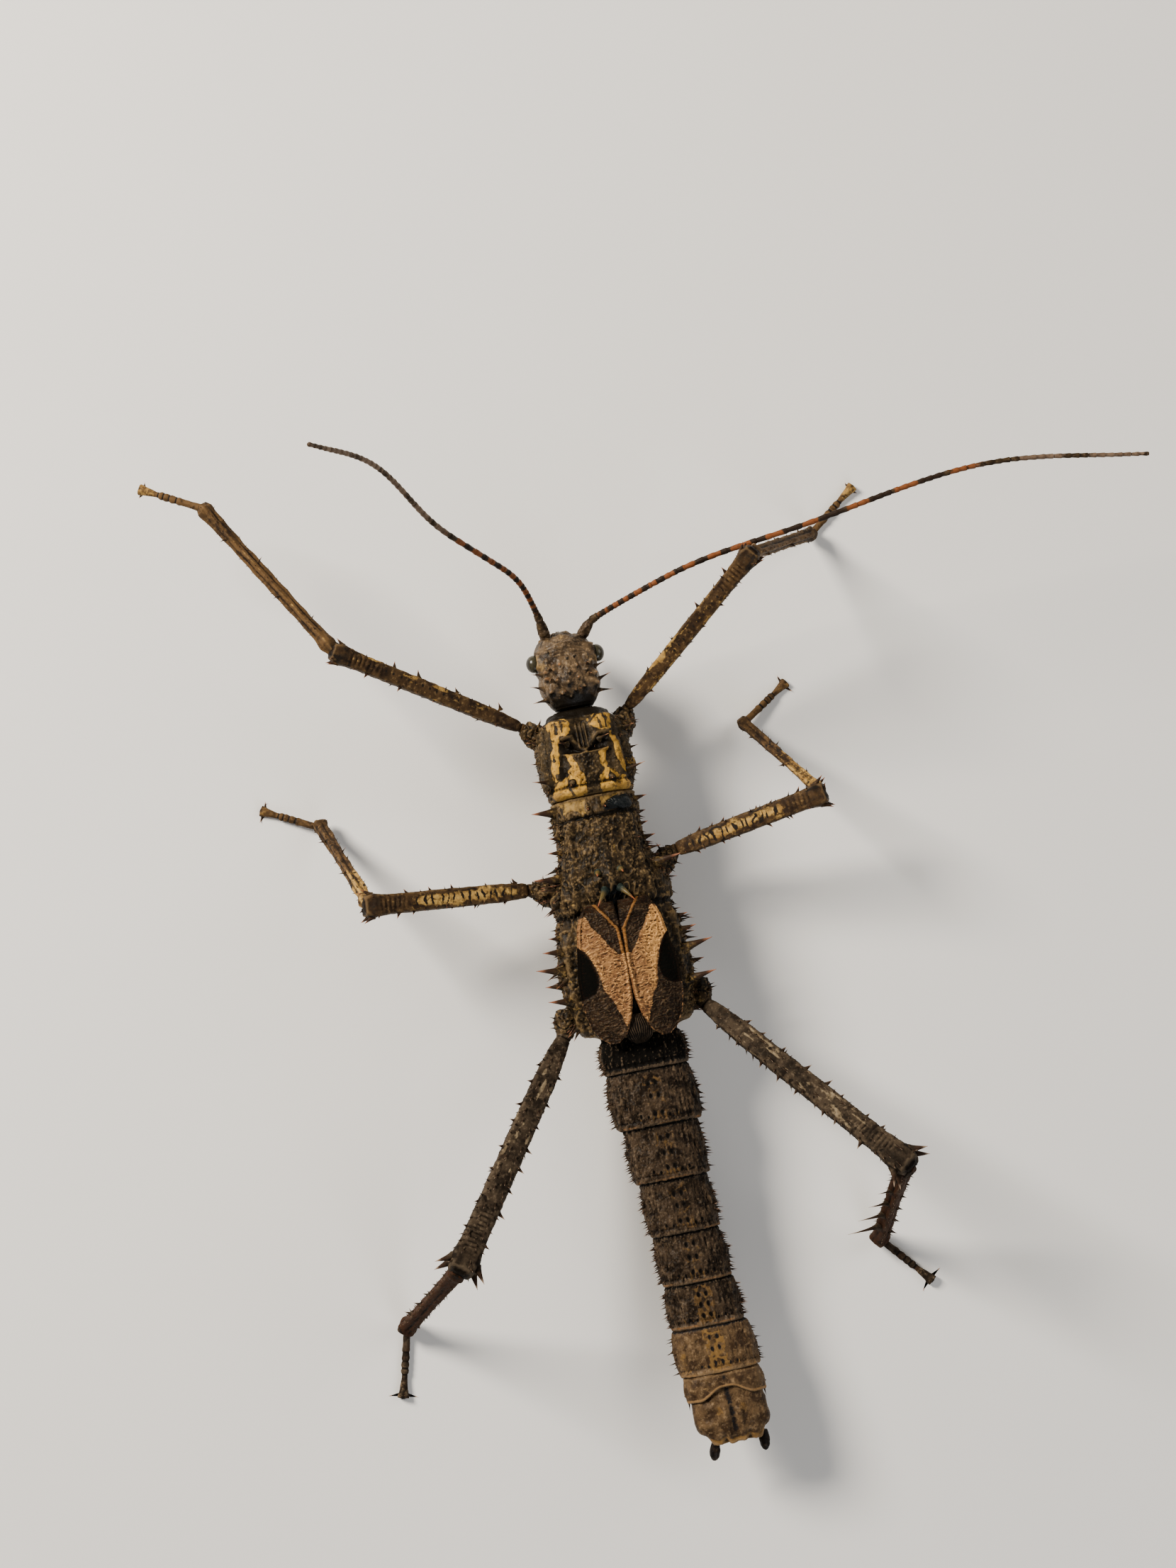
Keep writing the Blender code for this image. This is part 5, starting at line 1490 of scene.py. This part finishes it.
def build_leg(name, seed):
    """One leg: hip, thigh, shin and foot with their teeth and spines, and the claws."""
    kind = name.split("_")[0]
    traits = LEG_KINDS[kind]
    coxa = box_mm("coxa_" + name)[0]
    hip, knee = limb_ends("femur_" + name, coxa)
    knee_top, ankle = limb_ends("tibia_" + name, knee)
    heel, toe = limb_ends("tarsus_" + name, ankle)
    thigh_width, shin_width = (np.median([width for _, width in limb_rows(part + name)[0]])
                               for part in ("femur_", "tibia_"))
    random = np.random.default_rng(seed)
    build_hip(name, coxa, hip, seed, random)

    piece = Piece("leg_" + name)
    way = unit(knee - hip)
    thigh = Tube([hip - 0.6 * way, knee], THIGH_WIDTHS, thigh_width, columns=80, step=0.1, corner=3.0)
    shape_thigh(thigh, seed, kind)
    paint_thigh(thigh, seed, kind)
    piece.skin(thigh, room=(0, 0, 0.5, 0.8))
    roots, tips, radii = solid_thorns("femur_" + name)
    slide, grown, ahead = (random.uniform(*span, len(roots))[:, None]
                           for span in ((-0.8, 0.8), (0.5, 1.1), (0.2, 1.2)))
    slide = slide * way
    tips = roots + grown * (tips - roots) + 0.3 * way * ahead
    piece.thorns(roots + slide, tips + slide, radii * 1.3 * grown[:, 0] ** 0.5, flare=0.3, bow=0.1,
                 room=(0, 0.82, 0.2, 1))
    room = (0.2, 0.82, 0.5, 1)
    keel_teeth(piece, thigh, seed + 31, traits["thigh_teeth"], 0.22, room)
    if kind == "hind":                                      # slender spines lying along the upper side
        keel_teeth(piece, thigh, seed + 32, (1.5, 0.5, 1.0), 0.17, room, (62, 112), (1.2, 3.0))
    apical = [thigh.spot(0.955, angle) for angle in (15, 165, 215, 325)]
    reach = traits["knee_spines"]
    piece.thorns([place - 0.1 * out for place, out in apical],
                 [place + reach * out + (0.6 + 0.3 * reach) * way for place, out in apical],
                 0.24 + 0.24 * reach, flare=0.2, bow=0.12, room=(0.5, 0.95, 0.6, 1))

    shin_way = unit(ankle - knee_top)
    fold = np.cross(np.cross(way, shin_way), shin_way)
    shin = Tube([knee - 0.55 * way + 0.15 * shin_way, knee_top + 0.9 * shin_way, ankle],
                SHIN_WIDTHS, shin_width, columns=60, step=0.1, blur=0.7, corner=2.7, up=unit(fold))
    shape_shin(shin, seed + 40, kind)
    piece.skin(shin, room=(0.5, 0, 0.8, 0.8))
    spines = solid_thorns("tibia_" + name)
    if kind == "hind":
        spines = hind_comb(name, *spines, knee_top, ankle, shin_way)
    piece.thorns(*spines, bow=0.16, room=(0.5, 0.82, 0.7, 0.95))
    keel_teeth(piece, shin, seed + 41, traits["shin_teeth"], 0.13, (0.7, 0.82, 1, 1), lean=(0.4, 1.2))
    foot = build_foot(ankle, heel, toe, shin_way, seed, kind)
    piece.grid(foot.finish(floor=True), foot.masks, room=(0.8, 0, 1, 0.8))
    nodes = [part + name for part in ("femur_", "tibia_", "tarsus_")]
    piece.build("hind_leg" if kind == "hind" else "leg", "leg", *nodes)
    build_claws(name, toe, unit(toe - heel), traits["claws"])


# ---- feelers and mouth
def feeler_line(name):
    """Centre points of a feeler's three solids, from the head outwards."""
    at = box_mm("head")[0]
    line = []
    for part, gap in (("scape", 0.05), ("flagellum_base", 0.7), ("flagellum_tip", 0.7)):
        centres = [centre for centre, _ in limb_rows("antenna_%s_%s" % (name, part), gap, 4)[0]]
        if norm(centres[0] - at) > norm(centres[-1] - at):
            centres.reverse()
        line += centres
        at = centres[-1]
    return line


def build_feeler(name, seed):
    """A thick scape and a long whip of many small rings in dark and rusty bands, pale at its end."""
    piece = Piece("feeler_" + name)
    line = feeler_line(name)
    start = line[0] - 0.5 * (line[1] - line[0]) / norm(line[1] - line[0])
    path, run = smooth_path([start] + line, 0.25, 0.6)
    widths = [(0, 1.0), (0.2, 1.2), (0.45, 1.05), (0.62, 0.78), (0.66, 0.7), (0.72, 0.84), (0.95, 0.7),
              (1, 0.5)]
    scape = Tube(path[run < 3.1], widths, columns=48, step=0.05)
    scape.lift += 0.06 * rough(scape.grid, 0.4, seed) + 0.05 * grains(scape.grid, 0.24, seed + 1, 0.6)
    scape.masks["pale"] = 0.4 * ease(0.0, 0.5, noise(scape.grid, 0.6, seed + 2))
    scape.masks["dark"] = 0.4 * bell(scape.share, 0.64, 0.03)
    piece.skin(scape, room=(0, 0, 0.3, 1))
    widths = [(0, 0.62), (0.05, 0.55), (0.5, 0.5), (0.9, 0.42), (1, 0.34)]
    whip = Tube(path[run > 2.3], widths, columns=26, step=0.085, blur=1.2)
    ring = 0.42 + 0.45 * ease(0, 0.5, whip.share)           # length of one ring along the feeler
    beat = (whip.run / ring) % 1.0
    whip.lift += 0.045 * ease(0.1, 0.85, beat) * ease(1.0, 0.9, beat) - 0.03 * ease(0.93, 1.0, beat)
    whip.lift += 0.015 * rough(whip.grid, 0.25, seed + 5)
    band = np.log(1 + 0.2 * whip.run) / math.log(1.16)      # dark bands lie further apart towards the tip
    band = (band + 0.12 * noise(whip.grid, 1.5, seed + 7)) % 1.0
    dark = ease(0.0, 0.12, band) * ease(0.62, 0.46, band)
    dusk = ease(2.5, 0.8, whip.run)
    fade = 0.62 if name == "left" else 1.0                   # the left feeler turns grey-brown sooner
    tip = ease(0.62 * fade - 0.1, 0.9 * fade, whip.share)
    patch = 0.8 + 0.3 * noise(whip.grid, 0.4, seed + 8)
    whip.masks["rust"] = clamp((1 - dark) * (1 - 0.8 * tip) * (1 - 0.45 * dusk) * patch)
    whip.masks["dark"] = clamp(0.7 * dark * (1 - tip) + 0.4 * bell(beat, 0.98, 0.08))
    whip.masks["pale"] = tip * (0.9 - 0.5 * dark) * (1.1 if name == "left" else 0.85)
    piece.skin(whip, room=(0.3, 0, 1, 1))
    parts = ["antenna_%s_%s" % (name, part) for part in ("scape", "flagellum_base", "flagellum_tip")]
    piece.build("feeler", "feeler", *parts)


def build_palp(name):
    """A small mouth feeler of three joints."""
    piece = Piece("palp_segments_" + name)
    centres = [centre for centre, _ in limb_rows("palp_" + name)[0]]
    centres.sort(key=lambda centre: -centre[2])
    line = [centres[0] + 0.3 * (centres[0] - centres[1])] + centres
    line.append(centres[-1] + 0.35 * (centres[-1] - centres[-2]))
    tube = Tube(line, [(0, 0.5), (0.3, 0.62), (0.7, 0.64), (0.95, 0.5), (1, 0.25)], columns=30, step=0.05)
    for joint in (0.3, 0.62):
        tube.lift -= 0.07 * bell(tube.share, joint, 0.025)
        tube.masks["dark"] += 0.6 * bell(tube.share, joint, 0.04)
    tube.masks["pale"] += 0.3
    piece.skin(tube)
    piece.build("leg", "head", "palp_" + name)


def build_cercus(name, seed):
    """A short blunt feeler at the tail."""
    piece = Piece("tail_feeler_" + name)
    rings = [centre for centre, _ in limb_rows("cercus_" + name, 0.05, 4)[0]]
    rings.sort(key=lambda centre: -centre[1])
    way = unit(rings[-1] - rings[0])
    tube = Tube([rings[0] - 0.7 * way, rings[0], rings[-1] + 0.05 * way],
                [(0, 0.8), (0.4, 1.1), (0.75, 0.95), (0.92, 0.6), (1, 0.25)], columns=40, step=0.05)
    tube.lift += 0.03 * rough(tube.grid, 0.4, seed) + 0.02 * grains(tube.grid, 0.2, seed + 1, 0.5)
    piece.skin(tube)
    piece.build("horn", "abdomen", "cercus_" + name)


def build_neck():
    """The dark folded membrane between head and front plate."""
    piece = Piece("neck_membrane")
    form = Form(["neck"])
    plate = Plate(form, form.high + 0.6, form.low - 0.6)
    plate.lift += 0.10 * np.sin(plate.y * 12) + 0.05 * rough(plate.grid, 0.6, 401)
    plate.masks["dark"] += 0.8
    piece.skin(plate)
    piece.build("horn", "head", "neck")


def build_eye(name, seed):
    """A glossy ball with pale rings round the way it looks."""
    piece = Piece("eye_lens_" + name)
    centre, radii = box_mm("eye_" + name)
    polar, turn = ball_angles(90, 120)
    sign = SIDES[name]
    ball = np.stack([sign * np.cos(polar) + 0 * turn, np.sin(polar) * np.cos(turn) * sign,
                     np.sin(polar) * np.sin(turn)], axis=-1)
    grid = centre + ball * radii
    bend = polar + 0.12 * noise(grid, 0.7, 15 + seed)
    bands = 0.9 * bell(bend, 0.95, 0.05) + 0.55 * ease(1.0, 1.15, bend) + 0.3 * bell(bend, 0.6, 0.04)
    piece.grid(grid, {"cavity": 0.5, "pale": bands}, room=(0, 0, 1, 1))
    piece.build("eye", "eye", "eye_" + name)


# ---- wings
WING_LENGTH = 13.8             # outlines on a wing case are (across, back) in millimetres of this length
WING_VELVET = [(4.6, 3.9), (4.1, 4.5), (3.55, 5.6), (3.2, 6.9), (3.25, 7.9), (3.7, 8.6), (4.5, 9),
               (6, 9), (6, 3.9)]
WING_COPPER = [(3.3, 0.9), (4.9, 1.2), (4.9, 4), (4.1, 4.4), (3.5, 5.6), (3.1, 7), (2.9, 8.4), (2.2, 9.8),
               (1.7, 11.2), (1.3, 12.6), (0.2, 11), (-0.5, 8), (-0.5, 5), (0.75, 5.2), (1.5, 4.2),
               (2.2, 3), (2.9, 2)]
WING_SHORE = [(6, 3.6), (4, 4.4), (3.45, 5.6), (3.05, 7), (2.95, 8.2), (3.4, 9.2), (6, 9.2)]
WING_OUTER = (                 # distance of each edge from the midline, at a share of the length
    (0, 3.3), (0.07, 3.9), (0.15, 4.35), (0.3, 4.7), (0.5, 5.15), (0.7, 5.2), (0.85, 4.8), (0.95, 4),
    (1, 3.1))
WING_INNER = ((0, 0.35), (0.07, 0.25), (0.15, 0.15), (0.25, 0.1), (0.5, 0.05), (0.7, 0.2), (0.85, 0.7),
              (0.95, 1.35), (1, 2.3))


def top_of(node, x, y):
    """Height of a solid's upper side at each place; beside the solid, that of its nearest edge."""
    mesh = frame["nodes"][node].data
    corners = [vertex.co.copy() for vertex in mesh.vertices]
    tree = BVHTree.FromPolygons(corners, [tuple(face.vertices) for face in mesh.polygons])
    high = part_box(node)[1][2]
    result = np.empty(x.shape)
    for place in np.ndindex(*x.shape):
        spot = Vector((x[place] * MM, y[place] * MM, high + MM))
        hit = tree.ray_cast(spot, Vector((0, 0, -1)))[0] or tree.find_nearest(spot)[0]
        result[place] = hit[2] / MM
    return result


def build_wing_case(name, seed):
    """A crumpled leathery case: copper field with a pale shore, black velvet patch, raised vein."""
    piece = Piece("wing_case_" + name)
    sign = SIDES[name]
    node = "tegmen_" + name
    low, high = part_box(node)
    middle = (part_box("tegmen_left")[1][0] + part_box("tegmen_right")[0][0]) / 2 / MM
    front, rear = high[1] / MM, low[1] / MM
    rows, columns = 250, 130
    v = np.linspace(0.0, 1.0, rows)[:, None]
    u = np.linspace(0.0, 1.0, columns)[None]
    inner = soften(np.interp(v, *np.array(WING_INNER).T), 12)
    outer = soften(np.interp(v, *np.array(WING_OUTER).T), 12)
    wide = inner + (outer - inner) * u
    x = middle + sign * (wide - 0.12)
    y = np.broadcast_to(front + (rear - front) * v, x.shape)
    coarse = (slice(None, None, 5), slice(None, None, 5))
    z = top_of(node, x[coarse], y[coarse])
    z = np.array([np.interp(u[0], u[0][::5], row) for row in z])
    z = np.array([np.interp(v[:, 0], v[::5, 0], column) for column in z.T]).T
    z = soften(z, 30, False)
    flat = np.stack([x, y, z], axis=-1)
    ridge_line = np.interp(v, [0, 0.1, 0.2, 0.45, 0.7, 0.85], [2.3, 1.35, 0.45, 0.3, 0.5, 1.1])
    costal = outer - 0.25 - 0.1 * ease(0.3, 0.9, v)
    vein = bell(wide, ridge_line, 0.2) * ease(0.95, 0.6, v)
    rim = bell(wide, costal, 0.13) * ease(0.62, 0.5, v)
    lift = 0.2 * vein + 0.2 * rim
    bent = flat + 0.25 * noise(flat, 0.8, seed)[..., None]
    crumple = np.abs(noise(bent * [0.8, 1.7, 1.0], 0.28, seed + 1))
    maze = np.abs(noise(bent * [0.5, 1.5, 1.0] + 7.0, 0.26, seed + 3))
    creases = 0.07 * ease(0.5, 0.0, crumple) + 0.065 * ease(0.4, 0.0, maze)
    creases += 0.055 * rough(bent * [0.8, 1.5, 1.0], 0.28, seed + 2, 4)
    lift = lift + creases + 0.08 * rough(flat, 1.4, seed + 5)
    along = v * WING_LENGTH
    velvet = patches(wide + 0.1 * noise(flat, 0.5, seed + 6), along, [WING_VELVET], -0.12, 0.12)
    copper = patches(wide + 0.12 * noise(flat, 0.5, seed + 7), along, [WING_COPPER], -0.18, 0.3)
    shore = bell(polygon_field(wide, along, WING_SHORE), -0.2, 0.42 if name == "left" else 0.75)
    thin = bell(wide, outer - 0.06, 0.1) * ease(0.5, 0.7, v)
    thin = thin + bell(wide, inner + 0.1, 0.12) * ease(0.6, 0.8, v)
    lift = lift + 0.08 * copper - 0.08 * velvet
    lift = lift * (1 - 0.75 * velvet) + (1 - copper) * (1 - velvet) * 0.06 * grains(flat, 0.3, seed + 8, 0.55)
    lift = lift + 0.1 * bell(wide, outer, 0.14) - 0.12 * bell(wide, inner, 0.1) - 0.9 * ease(0.11, 0.0, v)
    sunlit = 0.22 * ease(1.0, 3.2, wide) if name == "right" else 0.0
    pale = np.maximum((0.7 + sunlit) * copper, (0.9 + sunlit / 3) * np.minimum(shore, 1) * copper)
    pale = np.maximum(pale, np.maximum(0.42 * thin, 0.3 * rim)) * (1 - velvet)
    hem = clamp(bell(wide, outer, 0.3) + bell(v, 1.0, 0.03) + 0.6 * bell(wide, inner, 0.2))
    # Near the hems the cavity mask is held low: painted shade there and no painted highlight along the edges.
    masks = {"pale": pale, "dark": clamp(velvet * 1.1), "rust": clamp(0.8 * vein * ease(0.9, 0.6, v)),
             "cavity": hollows(lift, False, 8.0, 4.0) * (1 - 0.8 * hem) + 0.3 * hem}
    upper = flat + np.stack([0 * lift, 0 * lift, lift], axis=-1)
    under = flat - [0.0, 0.0, 0.42]
    order = slice(None) if sign < 0 else slice(None, None, -1)
    piece.sheet(upper[:, order], under[:, order], {mask: value[:, order] for mask, value in masks.items()})
    piece.build("wing", "wing", node)


def build_hindwing():
    """The folded hind wing under the cases, in long dark pleats."""
    piece = Piece("hind_wing_folds")
    low, high = (np.array(corner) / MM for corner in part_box("hindwing"))
    rows, columns = 80, 70
    v = np.linspace(0.0, 1.0, rows)[:, None]
    u = np.linspace(-1.0, 1.0, columns)[None]
    half = (high[0] - low[0]) / 2 * np.interp(v, [0, 0.45, 0.8, 1.0], [0.72, 1.0, 0.85, 0.35])
    x = (low[0] + high[0]) / 2 + half * u
    y = high[1] + (low[1] - high[1]) * v + 0 * u
    z = high[2] - 0.25 - 0.35 * u ** 2 - 0.5 * ease(0.5, 1.0, v)
    pleat = np.abs(((u * 6.5 + 0.4 * noise(np.stack([x, y, z], axis=-1), 1.0, 7)) % 1.0) - 0.5)
    upper = np.stack([x, y, z + 0.16 * pleat], axis=-1)
    under = np.stack([x, y, z - 0.4], axis=-1)
    # Painted shade in the pleat valleys and a painted highlight on the pleat crests.
    masks = {"dark": 0.9 * ease(0.4, 0.2, pleat), "pale": 0.3 * ease(0.36, 0.48, pleat),
             "cavity": np.full(x.shape, 0.5)}
    piece.sheet(under, upper, masks)
    piece.build("abdomen", "wing", "hindwing")


# ---- the whole insect
build_head()
build_neck()
for seed, name in enumerate(SIDES):
    build_eye(name, seed)
    build_palp(name)
    build_feeler(name, 50 + seed)
build_pronotum()
build_thorax()
for seed, name in enumerate(SIDES):
    build_wing_case(name, 500 + 10 * seed)
build_hindwing()
for number in range(2, 9):
    build_tergite(number)
build_ninth()
build_tenth()
for seed, name in enumerate(SIDES):
    build_cercus(name, 60 + seed)
for seed, name in enumerate(kind + "_" + side for kind in LEG_KINDS for side in SIDES):
    build_leg(name, 1000 + 100 * seed)


# ---- floor, light and camera
def build_floor():
    """A plain pale floor under the feet."""
    mesh = bpy.data.meshes.new("floor")
    half = 1.5
    corners = [(-half, -half, 0), (half, -half, 0), (half, half, 0), (-half, half, 0)]
    mesh.from_pydata(corners, [], [(0, 1, 2, 3)])
    n, made = new_material("Pale Floor")
    colour = n.mix(n.noise(30.0, 3.0, 0.5), (0.78, 0.77, 0.755), (0.82, 0.81, 0.795))
    n.surface(Base_Color=colour, Roughness=0.75)
    mesh.materials.append(made)
    new_object("floor", mesh)


def add_light(name, place, size, watts, tint, target):
    """A round soft lamp that faces the target."""
    lamp = bpy.data.lights.new(name, "AREA")
    lamp.shape = "DISK"
    lamp.size = size
    lamp.energy = watts
    lamp.color = tint
    made = new_object(name, lamp)
    made.location = place
    made.rotation_euler = (Vector(place) - target).to_track_quat("Z", "Y").to_euler()


def set_camera():
    """Camera from above, turned a little with the insect; returns the place it looks at."""
    low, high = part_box("prothorax")
    target = Vector(((low[0] + high[0]) / 2, low[1] + 1.4 * MM, 8 * MM))
    distance = 260 * MM
    seen = 158 * MM                                          # height of the view at the insect
    left, tail, roll = (math.radians(angle) for angle in (4.0, 6.0, 11.2))
    back = Vector((-math.tan(left), -math.tan(tail), 1.0)).normalized()
    up = Vector((math.sin(roll), math.cos(roll), 0.0))
    right = up.cross(back).normalized()
    up = back.cross(right)
    camera = bpy.data.cameras.new("camera")
    camera.sensor_width = 36.0
    camera.lens = camera.sensor_width * distance / seen
    camera.clip_start = 0.01
    made = new_object("camera", camera)
    turn = Matrix((right, up, back)).transposed().to_4x4()
    made.matrix_world = Matrix.Translation(target + back * distance) @ turn
    bpy.context.scene.camera = made
    return target


build_floor()
TARGET = set_camera()
add_light("key", (-0.32, 0.27, 0.30), 0.18, 5.8, (1.0, 0.92, 0.80), TARGET)
add_light("fill", (0.42, 0.10, 0.35), 0.4, 1.1, (1.0, 0.96, 0.9), TARGET)
add_light("rim", (0.10, -0.45, 0.28), 0.3, 1.1, (0.95, 0.97, 1.0), TARGET)
world = bpy.data.worlds.new("world")
world.use_nodes = True
sky = world.node_tree.nodes["Background"].inputs
sky["Color"].default_value = (1.0, 0.98, 0.95, 1.0)
sky["Strength"].default_value = 0.11
bpy.context.scene.world = world
